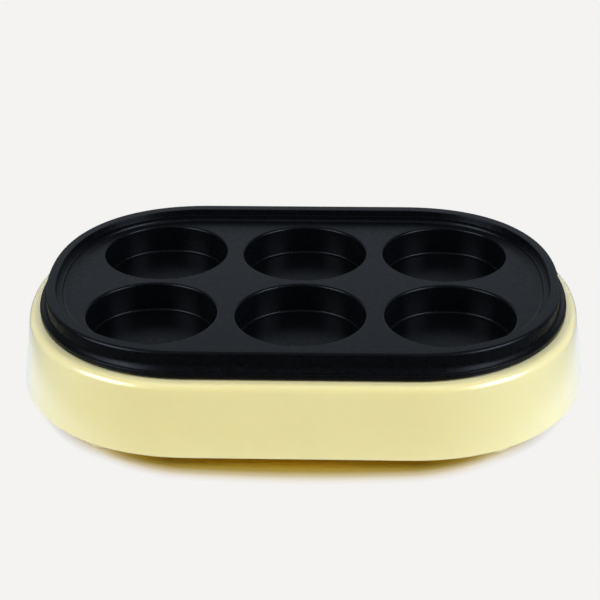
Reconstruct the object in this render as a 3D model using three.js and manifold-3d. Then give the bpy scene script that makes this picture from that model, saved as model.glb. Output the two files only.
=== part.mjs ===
// Wheel cake maker: a cast plate with six wells that lifts off a moulded electric base.
// Millimetres, Z up. The origin is on the table under the middle, and the front faces -Y.

import * as THREE from 'three';
import Module from 'manifold-3d';
import { mergeVertices } from 'three/addons/utils/BufferGeometryUtils.js';

const wasm = await Module();
wasm.setup();

// Wells of the cooking plate
const wellDiameter = 67.4;
const wellWebX = 9.6;
const wellWebY = 5.7;
const wellDepth = 15.7;
const wellDraft = 0.4;
const wellFloorRound = 1.2;
const wellLipRound = 1.3;
const castWall = 3;

// Deck and stepped rim, from the wells outwards
const deckMarginX = 14.8;
const deckMarginY = 6.45;
const rimCoveRadius = 2;
const lidSeatWidth = 2.6;
const lidSeatRise = 2;
const rimStepRun = 0.7;
const rimLand = 6.5;
const rimRise = 5.4;
const rimRound = 1.6;

// Plan shape: straight long sides and squarish round ends
const endReachShare = 0.941;
const endRoundnessShare = 2.137;

// Flared skirt of the plate
const skirtDrop = 8;
const skirtFlare = 2.6;
const skirtLipHeight = 3.2;
const skirtLipWall = 3;
const skirtCrease = 0.5;
const ogeeTopRise = 1.4;
const ogeeDrop = 4.3;
const ogeeHollowShare = 0.58;
const skirtGap = 0.6;

// Locating lugs under the plate
const lugDiameter = 7;
const lugAngle = 25 * Math.PI / 180;
const lugClearance = 0.6;

// Moulded housing
const footDrop = 5;
const bodyHeight = 38.4;
const bodyMargin = 8.6;
const bodyDraft = 4.7;
const bodyRound = 4;
const bodyWall = 2.5;
const collarInset = 6.8;
const ledgeDrop = 12.9;
const ledgeWidth = 9;
const ledgeWall = 2.5;

// Base cover with its four moulded feet
const coverRecess = 1;
const coverWall = 2.5;
const coverLipHeight = 4;
const coverLipWall = 2;
const footDiameter = 16;
const footTaper = 0.5;
const footInset = 0.1;
const footAngle = 60 * Math.PI / 180;
const padDiameter = 10.4;
const padHeight = 2.3;
const padProud = 0.5;
const ventWidth = 3;
const ventLength = 34;
const ventPitch = 8;
const ventCount = 6;

// Screws and their bosses
const screwShank = 2.9;
const screwHead = 5.8;
const screwHeadHeight = 2.1;
const screwTip = 1.6;
const screwClearance = 0.3;
const bossWall = 2.4;
const baseScrewLength = 16;
const baseScrewSeat = 2.4;
const baseTowerHeight = 6.5;
const baseScrewAngles = [-75 * Math.PI / 180, 0, 75 * Math.PI / 180];
const baseScrewOffset = 1.5;
const panScrewLength = 9;
const panBossDepth = 10;
const thermostatScrewLength = 5;
const inletScrewLength = 3.6;

// Tubular heating element and what holds it
const elementDiameter = 7;
const elementGap = 2.3;
const elementStraight = 68;
const elementBend = 8;
const elementEndX = 14;
const clipWall = 0.8;
const clipWidth = 8;
const clipFoot = 5;
const bushFlangeDiameter = 14;
const bushDiameter = 11;
const terminalDiameter = 3;

// Reflector pan
const panWall = 1;
const panSpace = 2.4;
const panFlange = 10.4;
const panSlope = 3;
const panHoleClearance = 1.2;

// Heights in the control room, between the base cover and the pan, as shares of that room
const coldEndShare = 0.5;
const bushFlangeShare = 0.165;
const bushShare = 0.4;
const terminalShare = 0.38;
const thermostatCapShare = 0.205;
const thermostatShare = 0.58;
const bladeShare = 0.265;
const leadRiseShare = 0.065;

// Thermostat and thermal fuse under the pan
const thermostatX = -42;
const thermostatY = 0;
const thermostatCapDiameter = 16;
const thermostatDiameter = 13.6;
const bladeWidth = 5;
const bladeWall = 0.8;
const bladeSpread = 3.5;
const bracketLength = 32;
const bracketDepth = 19;
const bracketWall = 0.8;
const bracketHoleInset = 3.8;
const fuseY = 8;
const fuseDiameter = 4;
const fuseLength = 12;
const clampWall = 0.7;
const clampWidth = 5;
const clampFoot = 4;

// Appliance inlet in the rear wall
const inletWidth = 30;
const inletHeadroom = 2.2;
const inletDepth = 20;
const inletSideWall = 3.5;
const inletTopWall = 2.2;
const inletBackWall = 5;
const inletRecess = 0.8;
const inletEar = 8;
const inletEarInset = 3;
const inletEarWall = 2.5;
const inletEarSetback = 3;
const inletPinDiameter = 4;
const inletPinPitch = 12.7;
const inletPinReach = 11.5;
const inletPinTail = 4;

// Internal leads: their straight ends in lead diameters, and the way points between the ends
const leadDiameter = 2.6;
const leadStraightShare = 3;
const leadDipShare = 0.15;
const leadNearShare = 0.5;
const leadTurnShare = 0.333;

// Clearances that recur
const seatGap = 0.3;
const overrun = 1;

// Facets of the curves, and the distance at which two corners are the same
const endSteps = 16;
const wellSides = 28;
const roundSides = 12;
const screwSides = 8;
const tubeSides = 8;
const elementSteps = 66;
const leadSteps = 10;
const mergeDistance = 0.0001;
const quarterArcShare = 0.5523;

// Places worked out from the sizes above
const wellRadius = wellDiameter / 2;
const wellPitchX = wellDiameter + wellWebX;
const wellPitchY = wellDiameter + wellWebY;
const rimBand = rimCoveRadius + lidSeatWidth + rimStepRun + rimLand;
const rimHalfLength = wellPitchX + wellRadius + deckMarginX + rimBand;
const rimHalfDepth = wellPitchY / 2 + wellRadius + deckMarginY + rimBand;
const endReach = endReachShare * rimHalfDepth;
const straightHalf = rimHalfLength - endReach;
const edgeZ = footDrop;
const ringZ = edgeZ + bodyHeight;
const deckZ = ringZ + skirtGap + skirtDrop;
const wellUnderZ = deckZ - wellDepth - castWall;
const ledgeZ = ringZ - ledgeDrop;
const flangeZ = ledgeZ + seatGap + panWall;
const elementZ = wellUnderZ - elementGap - elementDiameter / 2;
const panZ = elementZ - elementDiameter / 2 - panSpace;
const panUnderZ = panZ - panWall;
const coverZ = edgeZ + coverRecess;
const coverTopZ = coverZ + coverWall;
const rowY = wellPitchY / 2;
const panFlangeOffset = -(collarInset + seatGap * 2);
const panWallOffset = panFlangeOffset - panFlange;
const panFloorOffset = panWallOffset - panSlope;
const controlRoom = panUnderZ - coverTopZ;
const elementEndZ = panUnderZ - controlRoom * coldEndShare;
const fuseZ = panUnderZ - seatGap - fuseDiameter / 2;
const leadZ = coverTopZ + controlRoom * leadRiseShare + leadDiameter / 2;
const boreRadius = screwShank / 2 + screwClearance;
const bossRadius = boreRadius + bossWall;
const bracketScrewX = bracketLength / 2 - bracketHoleInset;

// Plan outline, moved outwards from the rim by an offset
function endPoint(offset, angle) {
  const power = 2 / endRoundnessShare;
  const along = Math.max(Math.cos(angle), 0) ** power;
  const across = Math.sign(Math.sin(angle)) * Math.abs(Math.sin(angle)) ** power;
  return new THREE.Vector2(straightHalf + (endReach + offset) * along, (rimHalfDepth + offset) * across);
}

function outline(offset) {
  const points = [];
  for (const side of [1, -1]) {
    for (let step = 0; step <= endSteps; step++) {
      const point = endPoint(offset, (step / endSteps - 1 / 2) * Math.PI);
      points.push(point.multiplyScalar(side));
    }
  }
  return points;
}

// Outer face of the housing side at a height
function sideOffset(z) {
  const topZ = ringZ - bodyRound;
  return bodyMargin + bodyDraft * (topZ - z) / (topZ - edgeZ);
}

// Shape tools
function arc(x, y, radius, start, end, steps) {
  const points = [];
  for (let step = 0; step <= steps; step++) {
    const angle = start + (end - start) * step / steps;
    points.push([x + radius * Math.cos(angle), y + radius * Math.sin(angle)]);
  }
  return points;
}

function ogee(x, z, run, drop, hollowShare, steps) {
  const turn = 2 * Math.atan2(run, drop);
  const total = drop / Math.sin(turn);
  const hollow = total * hollowShare;
  const swell = total - hollow;
  const first = arc(x + hollow, z, hollow, Math.PI, Math.PI + turn, steps);
  const second = arc(x + run - swell, z - drop, swell, turn, 0, steps);
  return first.concat(second.slice(1));
}

function signedVolume(position, index) {
  const [a, b, c] = [new THREE.Vector3(), new THREE.Vector3(), new THREE.Vector3()];
  let sum = 0;
  for (let i = 0; i < index.length; i += 3) {
    a.fromArray(position, 3 * index[i]);
    b.fromArray(position, 3 * index[i + 1]);
    c.fromArray(position, 3 * index[i + 2]);
    sum += a.dot(b.cross(c));
  }
  return sum / 6;
}

function solidOf(geometry) {
  const bare = new THREE.BufferGeometry();
  bare.setAttribute('position', geometry.getAttribute('position'));
  bare.setIndex(geometry.getIndex());
  const merged = mergeVertices(bare, mergeDistance);
  const position = new Float32Array(merged.getAttribute('position').array);
  const corners = merged.getIndex().array;
  const kept = [];
  for (let i = 0; i < corners.length; i += 3) {
    const [a, b, c] = corners.slice(i, i + 3);
    if (a !== b && b !== c && c !== a) kept.push(a, b, c);
  }
  if (signedVolume(position, kept) < 0) kept.reverse();
  const mesh = new wasm.Mesh({ numProp: 3, vertProperties: position, triVerts: new Uint32Array(kept) });
  return new wasm.Manifold(mesh);
}

function geometryOf(solid) {
  const mesh = solid.getMesh();
  const geometry = new THREE.BufferGeometry();
  geometry.setAttribute('position', new THREE.BufferAttribute(new Float32Array(mesh.vertProperties), 3));
  geometry.setIndex(new THREE.BufferAttribute(new Uint32Array(mesh.triVerts), 1));
  geometry.computeVertexNormals();
  return geometry;
}

// A section of [offset, z] pairs carried round the outline, as a ring or capped at both ends
function loft(section, ring) {
  const rows = section.map(([offset, z]) => outline(offset).map((p) => new THREE.Vector3(p.x, p.y, z)));
  const count = rows[0].length;
  const index = [];
  const bands = ring ? rows.length : rows.length - 1;
  for (let row = 0; row < bands; row++) {
    const low = row * count;
    const high = (row + 1) % rows.length * count;
    for (let i = 0; i < count; i++) {
      const next = (i + 1) % count;
      index.push(low + i, low + next, high + next, low + i, high + next, high + i);
    }
  }
  if (!ring) {
    const last = (rows.length - 1) * count;
    const flat = outline(section[0][0]);
    for (const [a, b, c] of THREE.ShapeUtils.triangulateShape(flat, [])) {
      index.push(a, c, b);
      index.push(last + a, last + b, last + c);
    }
  }
  const geometry = new THREE.BufferGeometry().setFromPoints(rows.flat());
  geometry.setIndex(index);
  return solidOf(geometry);
}

function post(radius, fromZ, toZ, x = 0, y = 0, sides = roundSides, topRadius = radius) {
  const geometry = new THREE.CylinderGeometry(topRadius, radius, toZ - fromZ, sides);
  geometry.rotateX(Math.PI / 2);
  geometry.translate(x, y, (fromZ + toZ) / 2);
  return solidOf(geometry);
}

function barY(radius, fromY, toY, x = 0, z = 0, sides = roundSides) {
  const geometry = new THREE.CylinderGeometry(radius, radius, toY - fromY, sides);
  geometry.translate(x, (fromY + toY) / 2, z);
  return solidOf(geometry);
}

function block(fromX, toX, fromY, toY, fromZ, toZ) {
  const geometry = new THREE.BoxGeometry(toX - fromX, toY - fromY, toZ - fromZ);
  geometry.translate((fromX + toX) / 2, (fromY + toY) / 2, (fromZ + toZ) / 2);
  return solidOf(geometry);
}

function turned(profile, sides) {
  const points = profile.map(([radius, z]) => new THREE.Vector2(radius, z));
  const geometry = new THREE.LatheGeometry(points, sides);
  geometry.rotateX(Math.PI / 2);
  return solidOf(geometry);
}

function tube(path, diameter, steps) {
  const section = new THREE.Shape().absarc(0, 0, diameter / 2, 0, 2 * Math.PI);
  const settings = { extrudePath: path, steps, curveSegments: tubeSides / 2, bevelEnabled: false };
  return solidOf(new THREE.ExtrudeGeometry(section, settings));
}

function quarterBend(from, corner, to) {
  const leave = from.clone().lerp(corner, quarterArcShare);
  const arrive = to.clone().lerp(corner, quarterArcShare);
  return new THREE.CubicBezierCurve3(from, leave, arrive, to);
}

function at(x, y, z) {
  return new THREE.Vector3(x, y, z);
}

function each(solid, others, operation) {
  return others.reduce((whole, other) => whole[operation](other), solid);
}

function corners(x, y) {
  return [[-x, -y], [x, -y], [-x, y], [x, y]];
}

const sideNames = ['front_left', 'front_right', 'rear_left', 'rear_right'];

// Places that several pieces share
const wellPlaces = [-1, 0, 1].flatMap((column) => [-1, 1].map((row) => [column * wellPitchX, row * rowY]));

function endPlaces(offset, angle) {
  const point = endPoint(offset, angle);
  return corners(point.x, point.y);
}

const footPlaces = endPlaces(coverOffset() - footInset - footDiameter / 2, footAngle);
const lugPlaces = endPlaces(-(collarInset + lugClearance + lugDiameter / 2), lugAngle);
const panScrewPlaces = corners(wellPitchX / 2, rimHalfDepth - collarInset - ledgeWidth / 2);
const baseScrewPlaces = [1, -1].flatMap((side) => baseScrewAngles.map((angle) => {
  const point = endPoint(baseScrewOffset, angle);
  return [side * point.x, point.y];
}));
const thermostatScrewPlaces = [-1, 1].map((side) => [thermostatX + side * bracketScrewX, thermostatY]);
const inletLowZ = coverTopZ + seatGap;
const inletHighZ = ledgeZ - ledgeWall - inletHeadroom;
const inletZ = (inletLowZ + inletHighZ) / 2;
const inletFrontY = rimHalfDepth + sideOffset(inletHighZ) - inletRecess;
const inletBackY = inletFrontY - inletDepth;
const earBackY = inletFrontY - inletEarSetback - inletEarWall;
const earScrewX = inletWidth / 2 + inletEar / 2;
const cavityBackY = inletBackY + inletBackWall;
const towerTopZ = coverZ + baseTowerHeight;

// Cooking plate
function plateSection() {
  const coveX = -rimBand;
  const seatX = coveX + rimCoveRadius;
  const stepX = seatX + lidSeatWidth;
  const landX = stepX + rimStepRun;
  const coveEnd = Math.asin(Math.min(lidSeatRise / rimCoveRadius - 1, 0));
  const lipX = skirtFlare;
  const lipInX = lipX - skirtLipWall;
  const creaseX = lipX - skirtCrease;
  const lipTop = -skirtDrop + skirtLipHeight;
  const edge = skirtCrease;
  return [
    ...arc(coveX, rimCoveRadius, rimCoveRadius, -Math.PI / 2, coveEnd, 3),
    [stepX, lidSeatRise],
    [landX, rimRise],
    ...arc(-rimRound, rimRise - rimRound, rimRound, Math.PI / 2, 0, 3),
    ...ogee(0, ogeeTopRise, creaseX, ogeeDrop, ogeeHollowShare, 3),
    [creaseX, lipTop],
    [lipX, lipTop - edge],
    [lipX, -skirtDrop + edge],
    [lipX - edge, -skirtDrop],
    [lipInX, -skirtDrop],
    [lipInX, -skirtDrop / 2],
    [landX, lidSeatRise - castWall],
    [coveX + castWall / 2, -castWall],
  ].map(([offset, z]) => [offset, deckZ + z]);
}

function wellProfile(growth) {
  const floorZ = -wellDepth - growth;
  const floorRadius = wellRadius - wellDraft + growth;
  const round = wellFloorRound + growth;
  const wallTop = wellRadius + growth;
  return [
    [0, floorZ],
    ...arc(floorRadius - round, floorZ + round, round, -Math.PI / 2, 0, 2),
    [wallTop, -wellLipRound],
  ].map(([radius, z]) => [radius, deckZ + z]);
}

function wellCut() {
  const lip = arc(wellRadius + wellLipRound, -wellLipRound, wellLipRound, Math.PI, Math.PI / 2, 2);
  return turned([
    ...wellProfile(0),
    ...lip.slice(1).map(([radius, z]) => [radius, deckZ + z]),
    [wellRadius + wellLipRound, deckZ + overrun],
    [0, deckZ + overrun],
  ], wellSides);
}

function cookingPlate() {
  const bowl = turned([...wellProfile(castWall), [0, deckZ - wellLipRound]], wellSides);
  const cut = wellCut();
  const lugTopZ = deckZ - castWall / 2;
  const lugs = lugPlaces.map(([x, y]) => post(lugDiameter / 2, flangeZ + seatGap, lugTopZ, x, y));
  const bowls = wellPlaces.map(([x, y]) => bowl.translate(x, y, 0));
  const cuts = wellPlaces.map(([x, y]) => cut.translate(x, y, 0));
  const body = each(each(loft(plateSection(), false), bowls, 'add'), lugs, 'add');
  return each(body, cuts, 'subtract');
}

// Upper housing: outer side, top ring, collar and the ledge that carries the pan
function housingSection() {
  const topZ = ringZ - bodyRound;
  const collarX = -collarInset;
  return [
    [sideOffset(edgeZ) - bodyWall, edgeZ],
    [sideOffset(edgeZ), edgeZ],
    ...arc(bodyMargin - bodyRound, topZ, bodyRound, 0, Math.PI / 2, 4),
    [collarX, ringZ],
    [collarX, ledgeZ],
    [collarX - ledgeWidth, ledgeZ],
    [collarX - ledgeWidth, ledgeZ - ledgeWall],
    [collarX + bodyWall, ledgeZ - ledgeWall],
    [collarX + bodyWall, ringZ - bodyWall],
    [bodyMargin - bodyRound, ringZ - bodyWall],
    [bodyMargin - bodyWall, topZ],
  ];
}

function upperHousing() {
  const wallY = rimHalfDepth + sideOffset(inletZ) - bodyWall;
  const panBossLow = ledgeZ - ledgeWall - panBossDepth;
  const additions = [
    ...baseScrewPlaces.map(([x, y]) => post(bossRadius, towerTopZ + seatGap, ringZ - bodyWall / 2, x, y)),
    ...panScrewPlaces.map(([x, y]) => post(bossRadius, panBossLow, ledgeZ - ledgeWall / 2, x, y)),
    ...[-1, 1].map((side) => barY(bossRadius, earBackY + inletEarWall + seatGap, wallY + bodyWall / 2,
      side * earScrewX, inletZ)),
  ];
  const openingX = inletWidth / 2 + seatGap;
  const opening = block(-openingX, openingX, earBackY, inletFrontY + inletDepth,
    inletLowZ - seatGap, inletHighZ + seatGap);
  const baseBoreTop = baseScrewTopZ() + overrun;
  const panBoreLow = flangeZ + seatGap - panScrewLength - screwTip - overrun;
  const cuts = [
    opening,
    ...baseScrewPlaces.map(([x, y]) => post(boreRadius, towerTopZ, baseBoreTop, x, y)),
    ...panScrewPlaces.map(([x, y]) => post(boreRadius, panBoreLow, ledgeZ + overrun, x, y)),
    ...[-1, 1].map((side) => barY(boreRadius, earBackY, inletScrewEndY() + seatGap,
      side * earScrewX, inletZ)),
  ];
  return each(each(loft(housingSection(), true), additions, 'add'), cuts, 'subtract');
}

// Base cover with feet, screw towers and vents
function coverOffset() {
  return sideOffset(coverTopZ) - bodyWall - seatGap;
}

function coverSection() {
  const lipX = coverOffset() - coverLipWall;
  const rise = coverTopZ + coverLipHeight;
  return [
    [coverOffset(), coverZ],
    [coverOffset(), coverTopZ],
    [lipX, coverTopZ],
    [lipX, rise],
    [lipX - coverLipWall, rise],
    [lipX - coverLipWall, coverTopZ],
  ];
}

function ventCuts() {
  const places = [];
  for (const side of [-1, 1]) {
    for (let i = 0; i < ventCount; i++) {
      const x = side * wellPitchX + (i - (ventCount - 1) / 2) * ventPitch;
      places.push(block(x - ventWidth / 2, x + ventWidth / 2, -ventLength / 2, ventLength / 2,
        coverZ - overrun, coverTopZ + overrun));
    }
  }
  return places;
}

function baseCover() {
  const padSeatZ = padHeight + seatGap;
  const headRadius = screwHead / 2 + screwClearance;
  const additions = [
    ...footPlaces.map(([x, y]) => post(footDiameter / 2 - footTaper, padProud, coverZ + coverWall / 2, x, y,
      roundSides, footDiameter / 2)),
    ...baseScrewPlaces.map(([x, y]) => post(headRadius + bossWall / 2, coverZ, towerTopZ, x, y)),
  ];
  const cuts = [
    ...footPlaces.map(([x, y]) => post(padDiameter / 2 + seatGap, 0, padSeatZ, x, y)),
    ...baseScrewPlaces.map(([x, y]) => post(headRadius, coverZ - overrun, towerTopZ - baseScrewSeat, x, y)),
    ...baseScrewPlaces.map(([x, y]) => post(boreRadius, coverZ, towerTopZ + overrun, x, y)),
    block(-inletWidth / 2 - inletEar - seatGap, inletWidth / 2 + inletEar + seatGap, inletBackY,
      inletFrontY + inletDepth, coverTopZ, coverTopZ + coverLipHeight + overrun),
    ...ventCuts(),
  ];
  return each(each(loft(coverSection(), false), additions, 'add'), cuts, 'subtract');
}

function footPad() {
  const edge = padProud / 2;
  const radius = padDiameter / 2;
  return turned([
    [0, 0],
    [radius - edge, 0],
    [radius, edge],
    [radius, padHeight],
    [0, padHeight],
  ], roundSides);
}

// Self-tapping screw: the head's bearing face is at Z = 0 and the shank points down
function screw(length) {
  const head = screwHead / 2;
  const shank = screwShank / 2;
  return turned([
    [0, screwHeadHeight],
    [head / 2, screwHeadHeight],
    [head, screwHeadHeight / 2],
    [head, 0],
    [shank, 0],
    [shank, -length],
    [0, -length - screwTip],
  ], screwSides);
}

function baseScrewTopZ() {
  return towerTopZ - baseScrewSeat - seatGap + baseScrewLength + screwTip;
}

function inletScrewEndY() {
  return earBackY - seatGap + inletScrewLength + screwTip;
}

// Reflector pan: floor, sloping wall and the flange that lies on the housing's ledge
function panSection() {
  return [
    [panFloorOffset, panZ],
    [panWallOffset, flangeZ],
    [panFlangeOffset, flangeZ],
    [panFlangeOffset, flangeZ - panWall],
    [panWallOffset + panWall, flangeZ - panWall],
    [panFloorOffset + panWall, panUnderZ],
  ];
}

function reflectorPan() {
  const cuts = [
    ...[-1, 1].map((side) => post(elementDiameter / 2 + panHoleClearance, panUnderZ - overrun, panZ + overrun,
      side * elementEndX, rowY)),
    ...panScrewPlaces.map(([x, y]) => post(boreRadius, flangeZ - panWall - overrun, flangeZ + overrun, x, y)),
    ...thermostatScrewPlaces.map(([x, y]) => post(boreRadius, panUnderZ - overrun, panZ + overrun, x, y)),
  ];
  return each(loft(panSection(), false), cuts, 'subtract');
}

// Heating element: one race-track loop whose ends turn down through the pan
function elementPath() {
  const path = new THREE.CurvePath();
  const line = (from, to) => path.add(new THREE.LineCurve3(from, to));
  const end = (side) => ({
    low: at(side * elementEndX, rowY, elementEndZ),
    foot: at(side * elementEndX, rowY, elementZ - elementBend),
    corner: at(side * elementEndX, rowY, elementZ),
    run: at(side * (elementEndX + elementBend), rowY, elementZ),
    turn: at(side * elementStraight, rowY, elementZ),
    square: at(side * (elementStraight + rowY), rowY, elementZ),
    tip: at(side * (elementStraight + rowY), 0, elementZ),
    nearSquare: at(side * (elementStraight + rowY), -rowY, elementZ),
    nearTurn: at(side * elementStraight, -rowY, elementZ),
  });
  const left = end(-1);
  const right = end(1);
  line(left.low, left.foot);
  path.add(quarterBend(left.foot, left.corner, left.run));
  line(left.run, left.turn);
  path.add(quarterBend(left.turn, left.square, left.tip));
  path.add(quarterBend(left.tip, left.nearSquare, left.nearTurn));
  line(left.nearTurn, right.nearTurn);
  path.add(quarterBend(right.nearTurn, right.nearSquare, right.tip));
  path.add(quarterBend(right.tip, right.square, right.turn));
  line(right.turn, right.run);
  path.add(quarterBend(right.run, right.corner, right.foot));
  line(right.foot, right.low);
  return path;
}

// Strap bent over a round piece that lies along X: the round piece's axis is at Z = 0, its seat below
function strap(round, wall, foot, drop, width) {
  const inner = round / 2 + seatGap;
  const outer = inner + wall;
  const low = -drop + seatGap;
  const points = [
    [-outer - foot, low],
    [-inner, low],
    ...arc(0, 0, inner, Math.PI, 0, 6),
    [inner, low],
    [outer + foot, low],
    [outer + foot, low + wall],
    [outer, low + wall],
    ...arc(0, 0, outer, 0, Math.PI, 6),
    [-outer, low + wall],
    [-outer - foot, low + wall],
  ];
  const shape = new THREE.Shape(points.map(([y, z]) => new THREE.Vector2(y, z)));
  const geometry = new THREE.ExtrudeGeometry(shape, { depth: width, bevelEnabled: false });
  geometry.translate(0, 0, -width / 2);
  geometry.rotateX(Math.PI / 2);
  geometry.rotateZ(Math.PI / 2);
  return solidOf(geometry);
}

function ceramicBush() {
  const bore = elementDiameter / 2 + seatGap;
  const shoulder = -controlRoom * bushFlangeShare;
  const low = -controlRoom * bushShare;
  return turned([
    [bore, 0],
    [bushFlangeDiameter / 2, 0],
    [bushFlangeDiameter / 2, shoulder],
    [bushDiameter / 2, shoulder],
    [bushDiameter / 2, low],
    [bore, low],
    [bore, 0],
  ], roundSides);
}

// Thermostat: sensing cap against the pan, body and two blades below it
function thermostat() {
  const shoulder = -controlRoom * thermostatCapShare;
  const low = -controlRoom * thermostatShare;
  const body = turned([
    [0, 0],
    [thermostatCapDiameter / 2, 0],
    [thermostatCapDiameter / 2, shoulder],
    [thermostatDiameter / 2, shoulder],
    [thermostatDiameter / 2, low],
    [0, low],
  ], roundSides);
  const blades = [-1, 1].map((side) => block(-bladeWidth / 2, bladeWidth / 2,
    side * bladeSpread - bladeWall / 2, side * bladeSpread + bladeWall / 2,
    low - controlRoom * bladeShare, low + overrun));
  return each(body, blades, 'add');
}

function thermostatBracket() {
  const halfLength = bracketLength / 2;
  const halfDepth = bracketDepth / 2;
  const plate = block(-halfLength, halfLength, -halfDepth, halfDepth, -bracketWall, 0);
  const holes = [
    post(thermostatDiameter / 2 + seatGap, -bracketWall - overrun, overrun),
    ...[-1, 1].map((side) => post(boreRadius, -bracketWall - overrun, overrun, side * bracketScrewX, 0)),
  ];
  return each(plate, holes, 'subtract');
}

function thermalFuse() {
  return barY(fuseDiameter / 2, -fuseLength / 2, fuseLength / 2);
}

// Appliance inlet: a recessed socket with an ear at each side
function inletSocket() {
  const halfWidth = inletWidth / 2;
  const cavityX = halfWidth - inletSideWall;
  const body = block(-halfWidth, halfWidth, inletBackY, inletFrontY, inletLowZ, inletHighZ);
  const ears = block(-halfWidth - inletEar, halfWidth + inletEar, earBackY, earBackY + inletEarWall,
    inletLowZ + inletEarInset, inletHighZ - inletEarInset);
  const cuts = [
    block(-cavityX, cavityX, cavityBackY, inletFrontY + overrun,
      inletLowZ + inletTopWall, inletHighZ - inletTopWall),
    ...[-1, 1].map((side) => barY(inletPinDiameter / 2 + seatGap, inletBackY - overrun, cavityBackY + overrun,
      side * inletPinPitch / 2, inletZ)),
    ...[-1, 1].map((side) => barY(boreRadius, earBackY - overrun, earBackY + inletEarWall + overrun,
      side * earScrewX, inletZ)),
  ];
  return each(body.add(ears), cuts, 'subtract');
}

function inletPin() {
  return barY(inletPinDiameter / 2, inletBackY - inletPinTail, cavityBackY + inletPinReach);
}

// Leads between the inlet, thermostat, fuse and element
function lead(points) {
  return tube(new THREE.CatmullRomCurve3(points), leadDiameter, leadSteps);
}

function leadPaths() {
  const tailY = inletBackY - inletPinTail - seatGap;
  const pinX = inletPinPitch / 2;
  const pinGap = terminalDiameter / 2 + seatGap;
  const bladeY = bladeSpread + bladeWall / 2 + seatGap;
  const fuseEnd = fuseLength / 2 + seatGap;
  const spanY = tailY - rowY;
  const middleX = (thermostatX - elementEndX) / 2;
  const straight = leadDiameter * leadStraightShare;
  const dipZ = leadZ + (inletZ - leadZ) * leadDipShare;
  return {
    return_lead: [
      at(pinX, tailY, inletZ),
      at(pinX, tailY - leadDiameter, inletZ),
      at(pinX, tailY - straight, dipZ),
      at(elementEndX, rowY + pinGap + straight, leadZ),
      at(elementEndX, rowY + pinGap, leadZ),
    ],
    feed_lead: [
      at(-pinX, tailY, inletZ),
      at(-pinX, tailY - leadDiameter, inletZ),
      at(-pinX, tailY - straight, dipZ),
      at(middleX, rowY + spanY * leadTurnShare, leadZ),
      at(thermostatX, thermostatY + rowY * leadNearShare, leadZ),
      at(thermostatX, thermostatY + bladeY + straight / 2, leadZ),
      at(thermostatX, thermostatY + bladeY, leadZ),
    ],
    link_lead: [
      at(thermostatX, thermostatY - bladeY, leadZ),
      at(thermostatX, thermostatY - bladeY - straight, leadZ),
      at(middleX, thermostatY - straight - straight, (leadZ + fuseZ) / 2),
      at(-elementEndX, fuseY - fuseEnd - straight, fuseZ),
      at(-elementEndX, fuseY - fuseEnd, fuseZ),
    ],
    element_lead: [
      at(-elementEndX, fuseY + fuseEnd, fuseZ),
      at(-elementEndX, fuseY + fuseEnd + leadDiameter, fuseZ),
      at(-elementEndX, rowY - pinGap - leadDiameter, leadZ),
      at(-elementEndX, rowY - pinGap, leadZ),
    ],
  };
}

// Finishes
function finish(color, roughness, metalness) {
  return new THREE.MeshStandardMaterial({ color, roughness, metalness, flatShading: true });
}

const yellowPlastic = finish(0xefe2a2, 0.28, 0);
const nonstickCoating = finish(0x25282b, 0.42, 0.1);
const aluminisedSteel = finish(0xb9bcbe, 0.35, 0.9);
const elementSheath = finish(0x4a4d49, 0.5, 0.7);
const platedSteel = finish(0xc9cbcd, 0.3, 0.95);
const ceramic = finish(0xefece4, 0.55, 0);
const darkRubber = finish(0x2a2a2b, 0.85, 0);
const phenolic = finish(0x2b211c, 0.45, 0);
const blackPlastic = finish(0x1d1e20, 0.4, 0);
const sleeving = finish(0xe9e6dc, 0.8, 0);
const brass = finish(0xc4a253, 0.3, 0.9);

// Assembly
const maker = new THREE.Group();
const base = new THREE.Group();
const heatUnit = new THREE.Group();
const liftOffPlate = new THREE.Group();
maker.add(base, heatUnit, liftOffPlate);

function piece(group, name, solid, material, x = 0, y = 0, z = 0) {
  const mesh = new THREE.Mesh(geometryOf(solid), material);
  mesh.name = name;
  mesh.position.set(x, y, z);
  group.add(mesh);
  return mesh;
}

function addHousing() {
  piece(base, 'upper_housing', upperHousing(), yellowPlastic);
  piece(base, 'base_cover', baseCover(), yellowPlastic);
  footPlaces.forEach(([x, y], i) => piece(base, `foot_pad_${sideNames[i]}`, footPad(), darkRubber, x, y, 0));
  baseScrewPlaces.forEach(([x, y], i) => {
    const mesh = piece(base, `base_screw_${i + 1}`, screw(baseScrewLength), platedSteel);
    mesh.rotation.x = Math.PI;
    mesh.position.set(x, y, towerTopZ - baseScrewSeat - seatGap);
  });
}

function addInlet() {
  piece(base, 'inlet_socket', inletSocket(), blackPlastic);
  for (const [name, side] of [['left', -1], ['right', 1]]) {
    piece(base, `inlet_pin_${name}`, inletPin(), brass, side * inletPinPitch / 2, 0, inletZ);
    const mesh = piece(base, `inlet_screw_${name}`, screw(inletScrewLength), platedSteel);
    mesh.rotation.x = Math.PI / 2;
    mesh.position.set(side * earScrewX, earBackY - seatGap, inletZ);
  }
}

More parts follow.
